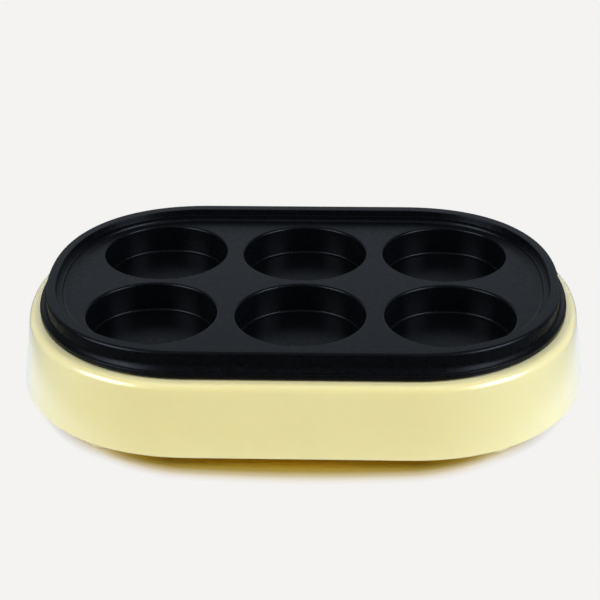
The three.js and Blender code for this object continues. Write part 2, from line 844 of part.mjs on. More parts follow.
function addHeatUnit() {
  piece(heatUnit, 'reflector_pan', reflectorPan(), aluminisedSteel);
  piece(heatUnit, 'heating_element', tube(elementPath(), elementDiameter, elementSteps), elementSheath);
  panScrewPlaces.forEach(([x, y], i) => {
    piece(heatUnit, `pan_screw_${sideNames[i]}`, screw(panScrewLength), platedSteel, x, y, flangeZ + seatGap);
  });
  const clip = strap(elementDiameter, clipWall, clipFoot, elementZ - panZ, clipWidth);
  corners(wellPitchX / 2, rowY).forEach(([x, y], i) => {
    piece(heatUnit, `element_clip_${sideNames[i]}`, clip, platedSteel, x, y, elementZ);
  });
  const terminalTopZ = elementEndZ - seatGap;
  const terminal = post(terminalDiameter / 2, terminalTopZ - controlRoom * terminalShare, terminalTopZ);
  for (const [name, side] of [['left', -1], ['right', 1]]) {
    const x = side * elementEndX;
    piece(heatUnit, `ceramic_bush_${name}`, ceramicBush(), ceramic, x, rowY, panUnderZ - seatGap);
    piece(heatUnit, `element_terminal_${name}`, terminal, platedSteel, x, rowY, 0);
  }
}

function addControls() {
  const capZ = panUnderZ - seatGap;
  const bracketZ = capZ - controlRoom * thermostatCapShare - seatGap;
  piece(heatUnit, 'thermostat', thermostat(), phenolic, thermostatX, thermostatY, capZ);
  piece(heatUnit, 'thermostat_bracket', thermostatBracket(), platedSteel, thermostatX, thermostatY, bracketZ);
  thermostatScrewPlaces.forEach(([x, y], i) => {
    const name = `thermostat_screw_${['left', 'right'][i]}`;
    const mesh = piece(heatUnit, name, screw(thermostatScrewLength), platedSteel);
    mesh.rotation.x = Math.PI;
    mesh.position.set(x, y, bracketZ - bracketWall - seatGap);
  });
  piece(heatUnit, 'thermal_fuse', thermalFuse(), ceramic, -elementEndX, fuseY, fuseZ);
  const clamp = piece(heatUnit, 'fuse_clamp',
    strap(fuseDiameter, clampWall, clampFoot, panUnderZ - fuseZ, clampWidth), platedSteel);
  clamp.rotation.set(Math.PI, 0, Math.PI / 2);
  clamp.position.set(-elementEndX, fuseY, fuseZ);
  for (const [name, points] of Object.entries(leadPaths())) {
    piece(heatUnit, name, lead(points), sleeving);
  }
}

addHousing();
addInlet();
addHeatUnit();
addControls();
piece(liftOffPlate, 'cooking_plate', cookingPlate(), nonstickCoating);

export default maker;
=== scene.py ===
"""Wheel cake maker, dressed: the cast plate, its moulded base and the heating parts between them."""

import logging
import math
from dataclasses import dataclass
from enum import Enum

import bmesh
import bpy
from mathutils import Matrix, Vector


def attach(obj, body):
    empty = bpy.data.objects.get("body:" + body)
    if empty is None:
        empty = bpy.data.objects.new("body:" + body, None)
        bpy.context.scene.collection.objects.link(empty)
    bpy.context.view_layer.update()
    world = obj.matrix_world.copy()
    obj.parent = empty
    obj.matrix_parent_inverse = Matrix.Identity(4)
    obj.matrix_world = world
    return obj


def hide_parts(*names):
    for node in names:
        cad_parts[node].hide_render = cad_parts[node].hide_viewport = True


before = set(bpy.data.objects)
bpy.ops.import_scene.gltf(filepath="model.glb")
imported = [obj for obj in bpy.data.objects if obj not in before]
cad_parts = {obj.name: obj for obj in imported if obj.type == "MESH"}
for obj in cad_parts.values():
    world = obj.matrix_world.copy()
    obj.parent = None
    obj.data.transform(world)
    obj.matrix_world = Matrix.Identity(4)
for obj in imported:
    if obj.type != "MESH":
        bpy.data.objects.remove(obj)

MM = 0.001
LOG = logging.getLogger("wheel_cake_maker")
OVERRUN = 1.0
GAP = 0.3
DOUBLES = 1e-5
SMOOTH = 34
BORE_STEPS = 32
Point = tuple[float, float]
Color = tuple[float, float, float]
Triple = tuple[float, float, float]
Socket = bpy.types.NodeSocket


class Body(Enum):
    """The two bodies of the maker that move apart."""

    BASE = "base"
    PLATE = "plate"


class Axis(Enum):
    """The way a turned piece points, as its angle about X."""

    UP = 0.0
    DOWN = math.pi
    BACK = -math.pi / 2
    FRONT = math.pi / 2

    def to(self, place: Vector) -> Matrix:
        """Turns a shape that points up this way and moves it to its place."""
        return Matrix.Translation(place) @ Matrix.Rotation(self.value, 4, "X")


# ---------------------------------------------------------------- sections


def arc(x: float, z: float, radius: float, start: float, end: float, steps: int) -> list[Point]:
    """Points of an arc."""
    angles = [math.radians(start + (end - start) * i / steps) for i in range(steps + 1)]
    return [(x + radius * math.cos(a), z + radius * math.sin(a)) for a in angles]


def rounded(corners: list[tuple[float, float, float]], steps: int = 5, closed: bool = False) -> list[Point]:
    """Replaces the corners of a line by arcs that touch both its sides.

    Args:
        corners: outward place, height and radius of each corner.
        steps: chords of each arc.
        closed: whether the last corner joins the first.

    Returns:
        The points of the rounded line.
    """
    points: list[Point] = []
    count = len(corners)
    for i, (x, z, radius) in enumerate(corners):
        at_end = not closed and i in (0, count - 1)
        if radius <= 0 or at_end:
            points.append((x, z))
            continue
        here = Vector((x, z))
        before = (Vector(corners[i - 1][:2]) - here).normalized()
        after = (Vector(corners[(i + 1) % count][:2]) - here).normalized()
        half = before.angle(after) / 2
        reach = radius / math.tan(half)
        middle = here + (before + after).normalized() * radius / math.sin(half)
        first, last = here + before * reach, here + after * reach
        turn_from = math.atan2(first.y - middle.y, first.x - middle.x)
        turn = math.atan2(last.y - middle.y, last.x - middle.x) - turn_from
        turn = (turn + math.pi) % (2 * math.pi) - math.pi
        for step in range(steps + 1):
            angle = turn_from + turn * step / steps
            points.append((middle.x + radius * math.cos(angle), middle.y + radius * math.sin(angle)))
    return points


def rod(radius: float, low: float, high: float) -> list[Point]:
    """Radii and heights of a round post."""
    return [(0, low), (radius, low), (radius, high), (0, high)]


@dataclass(frozen=True)
class Plan:
    """The plan shape and the main heights that the plate and the base share, in millimetres."""

    well_diameter: float = 67.4
    well_web_x: float = 9.6
    well_web_y: float = 5.7
    deck_margin_x: float = 14.8
    deck_margin_y: float = 6.45
    rim_band: float = 11.8
    end_reach_share: float = 0.941
    end_roundness_share: float = 2.137
    edge_z: float = 5.0
    ring_z: float = 43.4
    deck_z: float = 52.0
    steps: int = 64

    @property
    def pitch_x(self) -> float:
        """Distance between wells along the long side."""
        return self.well_diameter + self.well_web_x

    @property
    def row_y(self) -> float:
        """Distance of each row of wells from the middle."""
        return (self.well_diameter + self.well_web_y) / 2

    @property
    def half_length(self) -> float:
        """Half the length of the rim."""
        return self.pitch_x + self.well_diameter / 2 + self.deck_margin_x + self.rim_band

    @property
    def half_depth(self) -> float:
        """Half the depth of the rim."""
        return self.row_y + self.well_diameter / 2 + self.deck_margin_y + self.rim_band

    @property
    def end_reach(self) -> float:
        """Length of each curved end."""
        return self.end_reach_share * self.half_depth

    def roundness(self, offset: float) -> float:
        """Power of the curve that the ends follow."""
        return self.end_roundness_share

    def end_point(self, offset: float, angle: float) -> Point:
        """A point of the right end.

        Args:
            offset: distance outside the rim.
            angle: angle in degrees, 0 at the tip and 90 at the back.

        Returns:
            Its x and y.
        """
        power = 2 / self.roundness(offset)
        turn = math.radians(angle)
        along = max(math.cos(turn), 0.0) ** power
        across = math.copysign(abs(math.sin(turn)) ** power, math.sin(turn))
        straight = self.half_length - self.end_reach
        return straight + (self.end_reach + offset) * along, (self.half_depth + offset) * across

    def place(self, number: int, offset: float) -> Point:
        """A numbered point of the whole outline.

        Args:
            number: which point, counted from the right end's front.
            offset: distance outside the rim.

        Returns:
            Its x and y.
        """
        side = 1 if number <= self.steps else -1
        step = number % (self.steps + 1)
        x, y = self.end_point(offset, (step / self.steps - 0.5) * 180)
        return side * x, side * y

    @property
    def count(self) -> int:
        """Number of points in the outline."""
        return 2 * (self.steps + 1)

    def wells(self) -> list[Point]:
        """Centres of the six wells."""
        return [(column * self.pitch_x, row * self.row_y) for row in (-1, 1) for column in (-1, 0, 1)]

    def four(self, x: float, y: float) -> list[Point]:
        """A place in all four quarters, front left first."""
        return [(-x, -y), (x, -y), (-x, y), (x, y)]


@dataclass(frozen=True)
class PlatePlan(Plan):
    """The plate's own outline: the rim is squarer at its ends than the lip, and tucked in there."""

    rim_roundness: float = 2.28
    lip_offset: float = 2.1
    tuck: float = 1.5
    tuck_start: float = -6.5
    tuck_end: float = 2.6

    def roundness(self, offset: float) -> float:
        """Power of the curve that the ends follow."""
        share = min(max(offset / self.lip_offset, 0.0), 1.0)
        return self.rim_roundness + (self.end_roundness_share - self.rim_roundness) * share

    def end_point(self, offset: float, angle: float) -> Point:
        """A point of the right end.

        Args:
            offset: distance outside the rim.
            angle: angle in degrees, 0 at the tip and 90 at the back.

        Returns:
            Its x and y.
        """
        x, y = super().end_point(offset, angle)
        along = max(math.cos(math.radians(angle)), 0.0) ** (2 / self.roundness(offset))
        share = 1 - offset / (self.tuck_start if offset < 0 else self.tuck_end)
        return x - self.tuck * max(share, 0.0) * along, y


PLAN = Plan()
SIDES = (("left", -1), ("right", 1))
QUARTERS = ("front_left", "front_right", "rear_left", "rear_right")


# ---------------------------------------------------------------- mesh work


def edges_of(verts: list[bmesh.types.BMVert]) -> list[bmesh.types.BMEdge]:
    """The edges of some vertices, each once and in the same order every time."""
    return list(dict.fromkeys(edge for vert in verts for edge in vert.link_edges))


class Workpiece:
    """One piece while it is being shaped, in millimetres."""

    def __init__(self) -> None:
        """Starts with nothing on the bench."""
        self.bm = bmesh.new()

    def carry(self, section: list[Point], plan: Plan, closed: bool) -> "Workpiece":
        """Carries a section round the plan shape.

        Args:
            section: offsets and heights.
            plan: the plan shape.
            closed: joins the last point to the first; otherwise both ends are capped.

        Returns:
            This piece.
        """
        number = self.bm.verts.layers.int.new("number")
        ring = bmesh.ops.create_circle(self.bm, segments=plan.count, radius=1.0)["verts"]
        for i, vert in enumerate(ring):
            vert[number] = i
        first = edges = edges_of(ring)
        for i, (offset, height) in enumerate(section + section[:1] if closed else section):
            if i > 0:
                ring, edges = self.pull(edges)
            for vert in ring:
                vert.co = (*plan.place(vert[number], offset), height)
        if closed:
            bmesh.ops.remove_doubles(self.bm, verts=self.bm.verts[:], dist=DOUBLES)
            return self.outwards()
        return self.cap(first, edges)

    def pull(self, edges: list[bmesh.types.BMEdge]) -> tuple[list, list]:
        """Extrudes edges in place and gives the new vertices and edges."""
        made = bmesh.ops.extrude_edge_only(self.bm, edges=edges)["geom"]
        return tuple([item for item in made if isinstance(item, kind)]
                     for kind in (bmesh.types.BMVert, bmesh.types.BMEdge))

    def cap(self, *loops: list[bmesh.types.BMEdge]) -> "Workpiece":
        """Fills open ends.

        Args:
            loops: the edges round each end.

        Returns:
            This piece.
        """
        for edges in loops:
            bmesh.ops.edgeloop_fill(self.bm, edges=edges)
        return self.outwards()

    def turn(self, profile: list[Point], x: float = 0, y: float = 0, z: float = 0, steps: int = 48,
             axis: Axis = Axis.UP) -> "Workpiece":
        """Spins a profile of radii and heights round an upright axis, and adds it to the piece.

        Args:
            profile: radii and heights along the axis.
            x: place of the axis.
            y: place of the axis.
            z: height of the profile's zero.
            steps: sides of the turned shape.
            axis: where the profile's heights point.

        Returns:
            This piece.
        """
        verts = [self.bm.verts.new((radius, 0, height)) for radius, height in profile]
        edges = [self.bm.edges.new(pair) for pair in zip(verts, verts[1:])]
        before = set(self.bm.verts) - set(verts)
        bmesh.ops.spin(self.bm, geom=verts + edges, cent=(0, 0, 0), axis=(0, 0, 1), dvec=(0, 0, 0),
                       angle=2 * math.pi, steps=steps, use_merge=True, use_duplicate=False)
        made = [vert for vert in self.bm.verts if vert not in before]
        bmesh.ops.remove_doubles(self.bm, verts=made, dist=DOUBLES)
        made = [vert for vert in self.bm.verts if vert not in before]
        bmesh.ops.transform(self.bm, matrix=axis.to(Vector((x, y, z))), verts=made)
        return self.outwards()

    def block(self, low: Triple, high: Triple, bevel: float = 0, segments: int = 3,
              upright_only: bool = False) -> "Workpiece":
        """Adds a block with rounded edges.

        Args:
            low: lowest corner.
            high: highest corner.
            bevel: radius of its edges.
            segments: facets of each rounded edge.
            upright_only: rounds only the edges along Z.

        Returns:
            This piece.
        """
        made = bmesh.ops.create_cube(self.bm, size=1.0)["verts"]
        size = Vector(high) - Vector(low)
        middle = (Vector(high) + Vector(low)) / 2
        matrix = Matrix.Translation(middle) @ Matrix.Diagonal((*size, 1))
        bmesh.ops.transform(self.bm, verts=made, matrix=matrix)
        if bevel > 0:
            edges = edges_of(made)
            if upright_only:
                edges = [e for e in edges if abs(e.verts[0].co.z - e.verts[1].co.z) > size.z / 2]
            bmesh.ops.bevel(self.bm, geom=edges, offset=bevel, affect="EDGES", segments=segments,
                            profile=0.5, material=-1)
        return self

    def sweep(self, path: list[Vector], radius: float, sides: int) -> "Workpiece":
        """Sweeps a round tube along a path, with flat ends.

        Args:
            path: points of its middle line.
            radius: radius of the tube.
            sides: sides of the tube.

        Returns:
            This piece.
        """
        heading = (path[1] - path[0]).normalized()
        spin = Vector((0, 0, 1)).rotation_difference(heading).to_matrix().to_4x4()
        made = bmesh.ops.create_circle(self.bm, segments=sides, radius=radius,
                                       matrix=Matrix.Translation(path[0]) @ spin)["verts"]
        first = edges = edges_of(made)
        for i in range(1, len(path)):
            made, edges = self.pull(edges)
            onward = (path[min(i + 1, len(path) - 1)] - path[i - 1]).normalized()
            bend = heading.rotation_difference(onward).to_matrix().to_4x4()
            bmesh.ops.transform(self.bm, verts=made, matrix=Matrix.Translation(path[i]) @ bend
                                @ Matrix.Translation(-path[i - 1]))
            heading = onward
        return self.cap(first, edges)

    def outwards(self) -> "Workpiece":
        """Turns all faces outwards."""
        bmesh.ops.recalc_face_normals(self.bm, faces=self.bm.faces[:])
        return self

    def mesh(self, name: str) -> bpy.types.Mesh:
        """Takes the piece off the bench.

        Args:
            name: name of the mesh.

        Returns:
            The mesh in metres.
        """
        bmesh.ops.scale(self.bm, vec=(MM, MM, MM), verts=self.bm.verts[:])
        made = bpy.data.meshes.new(name)
        self.bm.to_mesh(made)
        self.bm.free()
        return made

    def joined(self, name: str, added: "Workpiece | None" = None,
               cut: "Workpiece | None" = None) -> bpy.types.Mesh:
        """Adds one set of shapes to the piece and cuts another from it.

        Args:
            name: name of the mesh.
            added: shapes that become part of it.
            cut: shapes that are taken out of it.

        Returns:
            The mesh in metres.
        """
        mesh = self.mesh(name)
        for tool, operation in ((added, "UNION"), (cut, "DIFFERENCE")):
            if tool is not None:
                mesh = boolean(mesh, tool.mesh(f"{name}_tool"), operation)
        return mesh


def boolean(mesh: bpy.types.Mesh, tool: bpy.types.Mesh, operation: str) -> bpy.types.Mesh:
    """Joins two meshes, or cuts one with the other.

    Args:
        mesh: the piece.
        tool: what is added or taken out.
        operation: UNION or DIFFERENCE.

    Returns:
        The new mesh.
    """
    name = mesh.name
    scene = bpy.context.scene
    target = bpy.data.objects.new("bench_piece", mesh)
    cutter = bpy.data.objects.new("bench_tool", tool)
    for thing in (target, cutter):
        scene.collection.objects.link(thing)
    step = target.modifiers.new("join", "BOOLEAN")
    step.operation = operation
    step.solver = "EXACT"
    step.object = cutter
    made = bpy.data.meshes.new_from_object(target.evaluated_get(bpy.context.evaluated_depsgraph_get()))
    for thing in (target, cutter):
        bpy.data.objects.remove(thing)
    bpy.data.meshes.remove(mesh)
    bpy.data.meshes.remove(tool)
    made.name = name
    return made


# ---------------------------------------------------------------- finishes


class Wiring:
    """Nodes and wires of one node tree."""

    def __init__(self, tree: bpy.types.NodeTree) -> None:
        """Takes a node tree in hand."""
        self.tree = tree

    def node(self, kind: str, **settings: object) -> bpy.types.Node:
        """Adds a node.

        Args:
            kind: its type name.
            settings: its properties.

        Returns:
            The node.
        """
        made = self.tree.nodes.new(kind)
        for key, value in settings.items():
            setattr(made, key, value)
        return made

    def wire(self, start: Socket, end: Socket) -> None:
        """Joins two sockets."""
        self.tree.links.new(start, end)

    def spread(self, value: Socket, low: float, high: float,
               start: float = 0.3, end: float = 0.7) -> Socket:
        """Maps a pattern to a range of numbers.

        Args:
            value: the pattern.
            low: result at start.
            high: result at end.
            start: pattern value that gives low.
            end: pattern value that gives high.

        Returns:
            The mapped value.
        """
        made = self.node("ShaderNodeMapRange")
        for key, number in (("From Min", start), ("From Max", end), ("To Min", low), ("To Max", high)):
            made.inputs[key].default_value = number
        self.wire(value, made.inputs["Value"])
        return made.outputs["Result"]

    def math(self, operation: str, first: Socket, second: Socket) -> Socket:
        """Joins two values by a sum.

        Args:
            operation: name of the sum.
            first: one value.
            second: the other value.

        Returns:
            The result.
        """
        made = self.node("ShaderNodeMath", operation=operation)
        self.wire(first, made.inputs[0])
        self.wire(second, made.inputs[1])
        return made.outputs[0]

    def choose(self, flag: Socket, off: float | Socket, on: float | Socket) -> Socket:
        """Takes one of two values by a flag.

        Args:
            flag: 0 or 1.
            off: value at 0.
            on: value at 1.

        Returns:
            The chosen value.
        """
        made = self.node("ShaderNodeMapRange")
        for key, value in (("To Min", off), ("To Max", on)):
            if isinstance(value, Socket):
                self.wire(value, made.inputs[key])
            else:
                made.inputs[key].default_value = value
        self.wire(flag, made.inputs["Value"])
        return made.outputs["Result"]

    def shades(self, value: Socket, stops: list[tuple[float, Color]]) -> Socket:
        """Turns a value into a colour.

        Args:
            value: the value.
            stops: values from low to high, each with its colour.

        Returns:
            The colour.
        """
        made = self.node("ShaderNodeValToRGB")
        elements = made.color_ramp.elements
        for position, color in stops[1:-1]:
            elements.new(position).color = (*color, 1)
        for element, (position, color) in zip((elements[0], elements[-1]), (stops[0], stops[-1])):
            element.position = position
            element.color = (*color, 1)
        self.wire(value, made.inputs["Fac"])
        return made.outputs["Color"]


class Board(Wiring):
    """The node board of one material."""

    def __init__(self, name: str, color: Color, **sockets: float) -> None:
        """Starts a material with one shader.

        Args:
            name: name of the material.
            color: base colour, linear.
            sockets: fixed values of the shader's sockets, with _ for a space.
        """
        self.material = bpy.data.materials.new(name)
        self.material.use_nodes = True
        self.material.diffuse_color = (*color, 1)
        super().__init__(self.material.node_tree)
        self.shader = self.tree.nodes["Principled BSDF"]
        self.shader.inputs["Base Color"].default_value = (*color, 1)
        for key, value in sockets.items():
            self.shader.inputs[key.replace("_", " ")].default_value = value

    def coordinates(self, stretch: Triple = (1, 1, 1)) -> Socket:
        """Object coordinates, stretched.

        Args:
            stretch: scale along each axis.

        Returns:
            The socket that holds them.
        """
        source = self.node("ShaderNodeTexCoord").outputs["Object"]
        if stretch == (1, 1, 1):
            return source
        mapping = self.node("ShaderNodeMapping")
        mapping.inputs["Scale"].default_value = stretch
        self.wire(source, mapping.inputs["Vector"])
        return mapping.outputs["Vector"]

    def noise(self, size: float, detail: float = 3, rough: float = 0.55,
              stretch: Triple = (1, 1, 1)) -> Socket:
        """A noise pattern.

        Args:
            size: size of its features in millimetres.
            detail: levels of finer noise.
            rough: weight of the finer levels.
            stretch: scale along each axis.

        Returns:
            Its value.
        """
        made = self.node("ShaderNodeTexNoise")
        made.inputs["Scale"].default_value = 1 / (size * MM)
        made.inputs["Detail"].default_value = detail
        made.inputs["Roughness"].default_value = rough
        self.wire(self.coordinates(stretch), made.inputs["Vector"])
        return made.outputs["Fac"]

    def cells(self, size: float, feature: str = "F1",
              stretch: Triple = (1, 1, 1)) -> bpy.types.Node:
        """A pattern of cells.

        Args:
            size: size of a cell in millimetres.
            feature: which distance it gives.
            stretch: scale along each axis.

        Returns:
            The pattern's node.
        """
        made = self.node("ShaderNodeTexVoronoi", feature=feature)
        made.inputs["Scale"].default_value = 1 / (size * MM)
        self.wire(self.coordinates(stretch), made.inputs["Vector"])
        return made

    def tint(self, value: Socket, low: Color, high: Color, start: float = 0.3, end: float = 0.7) -> None:
        """Colours the surface between two colours by a pattern."""
        self.wire(self.shades(value, [(start, low), (end, high)]), self.shader.inputs["Base Color"])

    def gloss(self, value: Socket, low: float, high: float) -> None:
        """Varies the roughness between two values by a pattern."""
        self.wire(self.spread(value, low, high), self.shader.inputs["Roughness"])

    def bump(self, value: Socket, depth: float, strength: float = 1.0,
             under: Socket | None = None) -> Socket:
        """Raises the surface by a pattern.

        Args:
            value: the pattern.
            depth: height of the relief in millimetres.
            strength: share of the relief that shows.
            under: the relief below this one.

        Returns:
            The normal.
        """
        made = self.node("ShaderNodeBump")
        made.inputs["Distance"].default_value = depth * MM
        made.inputs["Strength"].default_value = strength
        self.wire(value, made.inputs["Height"])
        if under is not None:
            self.wire(under, made.inputs["Normal"])
        self.wire(made.outputs["Normal"], self.shader.inputs["Normal"])
        return made.outputs["Normal"]


@dataclass(frozen=True)
class GlossyMoulding:
    """Pale yellow moulded plastic with a high gloss."""

    name: str = "pale yellow moulded plastic"
    deep: Color = (0.843, 0.728, 0.300)
    light: Color = (0.863, 0.748, 0.320)
    roughness: float = 0.2
    bloom: float = 0.5

    def material(self) -> bpy.types.Material:
        """Builds the material.

        Returns:
            The material.
        """
        board = Board(self.name, self.light, Roughness=self.roughness, IOR=1.55, Subsurface_Weight=0.25,
                      Subsurface_Scale=0.006, Coat_Weight=0.8, Coat_Roughness=0.2, Sheen_Weight=self.bloom,
                      Sheen_Roughness=0.5)
        board.shader.inputs["Subsurface Radius"].default_value = (1.0, 0.7, 0.2)
        board.tint(board.noise(38, 2), self.deep, self.light)
        board.gloss(board.noise(9, 4), self.roughness - 0.02, self.roughness + 0.05)
        flow = board.bump(board.noise(16, 1), 0.03, 0.4)
        board.bump(board.noise(0.35, 2), 0.004, 0.5, flow)
        return board.material


@dataclass(frozen=True)
class CastCoating:
    """Near-black satin non-stick coating on cast metal."""

    name: str = "dark non-stick coating"
    dark: Color = (0.0010, 0.0012, 0.0014)
    pale: Color = (0.0032, 0.0037, 0.0042)
    roughness: float = 0.3
    specular: float = 0.19
    sheen: Color = (0.78, 0.89, 1.0)

    def material(self) -> bpy.types.Material:
        """Builds the material.

        Returns:
            The material.
        """
        board = Board(self.name, self.dark, Roughness=self.roughness, IOR=1.45,
                      Specular_IOR_Level=self.specular)
        board.shader.inputs["Specular Tint"].default_value = (*self.sheen, 1)
        board.tint(board.noise(1.1, 5, 0.7), self.dark, self.pale, 0.42, 0.66)
        board.gloss(board.noise(2.4, 4), self.roughness - 0.05, self.roughness + 0.07)
        grain = board.bump(board.noise(3.5, 2), 0.03, 0.35)
        board.bump(board.noise(0.45, 4, 0.7), 0.016, 0.8, grain)
        return board.material


@dataclass(frozen=True)
class SheetMetal:
    """Plated or aluminised steel."""

    name: str
    dark: Color
    pale: Color
    roughness: float = 0.3
    grain: float = 5.0
    stretch: Triple = (1, 1, 1)

    def material(self) -> bpy.types.Material:
        """Builds the material.

        Returns:
            The material.
        """
        board = Board(self.name, self.pale, Roughness=self.roughness, Metallic=1.0)
        spangle = board.cells(self.grain, stretch=self.stretch).outputs["Color"]
        split = board.node("ShaderNodeSeparateColor")
        board.wire(spangle, split.inputs["Color"])
        board.tint(split.outputs["Red"], self.dark, self.pale, 0.1, 0.9)
        board.gloss(board.noise(3, 5, 0.7), self.roughness - 0.06, self.roughness + 0.1)
        board.bump(board.noise(0.5, 3, stretch=self.stretch), 0.006, 0.5)
        return board.material


@dataclass(frozen=True)
class OxidisedSheath:
    """Dark, mottled sheath of a heating element."""

    name: str = "oxidised element sheath"
    dark: Color = (0.022, 0.024, 0.02)
    pale: Color = (0.075, 0.08, 0.068)

    def material(self) -> bpy.types.Material:
        """Builds the material.

        Returns:
            The material.
        """
        board = Board(self.name, self.pale, Roughness=0.5, Metallic=0.55)
        board.tint(board.noise(6, 5, 0.7), self.dark, self.pale, 0.35, 0.65)
        board.gloss(board.noise(2, 4), 0.4, 0.62)
        board.bump(board.noise(0.6, 4), 0.02, 0.6)
        return board.material


@dataclass(frozen=True)
class MattPiece:
    """Rubber, phenolic, ceramic and other dull materials."""

    name: str
    dark: Color
    pale: Color
    roughness: float = 0.6
    grain: float = 0.4
    relief: float = 0.012
    specular: float = 0.4

    def material(self) -> bpy.types.Material:
        """Builds the material.

        Returns:
            The material.
        """
        board = Board(self.name, self.pale, Roughness=self.roughness, Specular_IOR_Level=self.specular)
        board.tint(board.noise(4, 4, 0.6), self.dark, self.pale)
        board.gloss(board.noise(1.5, 3), self.roughness - 0.06, self.roughness + 0.06)
        board.bump(board.noise(self.grain, 3), self.relief, 0.7)
        return board.material


@dataclass(frozen=True)
class WovenSleeve:
    """Pale woven heat-resistant sleeve."""

    name: str = "woven sleeve"
    dark: Color = (0.52, 0.5, 0.43)
    pale: Color = (0.75, 0.72, 0.64)

    def material(self) -> bpy.types.Material:
        """Builds the material.

        Returns:
            The material.
        """
        board = Board(self.name, self.pale, Roughness=0.8)
        weave = board.cells(0.5, stretch=(1, 0.6, 1)).outputs["Distance"]
        board.tint(weave, self.pale, self.dark, 0.25, 0.75)
        board.bump(weave, 0.12, 0.8)
        return board.material


FINISHES = {
    "yellow_housing": GlossyMoulding(),
    "nonstick_cast": CastCoating(),
    "element_sheath": OxidisedSheath(),
    "lead_sleeve": WovenSleeve(),
    "aluminised_steel": SheetMetal("aluminised sheet steel", (0.42, 0.43, 0.44), (0.62, 0.63, 0.64), 0.32, 4),
    "plated_steel": SheetMetal("zinc-plated steel", (0.55, 0.56, 0.58), (0.72, 0.73, 0.75), 0.24, 0.7),
    "brass_pins": SheetMetal("bright brass", (0.52, 0.36, 0.12), (0.68, 0.5, 0.2), 0.22, 1.2, (1, 0.2, 1)),
    "foot_rubber": MattPiece("dark foot rubber", (0.012, 0.012, 0.012), (0.022, 0.022, 0.022), 0.75),
    "brown_phenolic": MattPiece("brown phenolic", (0.016, 0.01, 0.007), (0.035, 0.022, 0.015),
                                0.42, 0.8, 0.006),
    "white_ceramic": MattPiece("white ceramic", (0.68, 0.66, 0.6), (0.8, 0.78, 0.73), 0.5),
    "black_moulding": MattPiece("black moulding", (0.007, 0.007, 0.0075), (0.014, 0.014, 0.015),
                                0.38, 0.5, 0.01),
}


# ---------------------------------------------------------------- sub-assemblies


@dataclass
class Assembly:
    """A sub-assembly that is shaped on a plan and dressed by the record's slots."""

    plan: Plan
    finishes: dict[str, bpy.types.Material]

    def put(self, name: str, mesh: bpy.types.Mesh, slot: str, node: str, smooth_angle: float = 32,
            even: bool = True, body: Body = Body.BASE) -> bpy.types.Object:
        """Puts a finished mesh into the scene in place of a frame node.

        Args:
            name: name of the piece.
            mesh: its mesh.
            slot: slot of the record that its finish comes from.
            node: the node that it stands for.
            smooth_angle: edges sharper than this stay sharp, in degrees.
            even: weighs the normals by area, so that flats stay flat.
            body: what it moves with.

        Returns:
            The piece.
        """
        mesh.materials.clear()
        mesh.materials.append(self.finishes[slot])
        mesh.polygons.foreach_set("use_smooth", [True] * len(mesh.polygons))
        mesh.set_sharp_from_angle(angle=math.radians(smooth_angle))
        piece = bpy.data.objects.new(name, mesh)
        bpy.context.scene.collection.objects.link(piece)
        if even:
            piece.modifiers.new("flat normals", "WEIGHTED_NORMAL").keep_sharp = True
        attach(piece, body.value)
        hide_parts(node)
        LOG.info("piece %s: %d faces on %s", name, len(mesh.polygons), body.value)
        return piece

    def screw(self, name: str, length: float, spot: Triple, axis: Axis) -> None:
        """Puts a screw in place of its frame node.

        Args:
            name: the node.
            length: length under the head.
            spot: middle of its bearing face.
            axis: where its head points.
        """
        mesh = Screw(length).mesh(f"{name}_fine")
        mesh.transform(axis.to(Vector(spot) * MM))
        self.put(f"{name}_fine", mesh, "plated_steel", name, 30)

    def dress(self, slot: str, *names: str) -> None:
        """Gives frame nodes that keep their shape their finish.

        Args:
            slot: slot of the record that the finish comes from.
            names: the nodes.
        """
        for name in names:
            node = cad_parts[name]
            node.data.materials.clear()
            node.data.materials.append(self.finishes[slot])
            LOG.info("node %s: %s", name, slot)


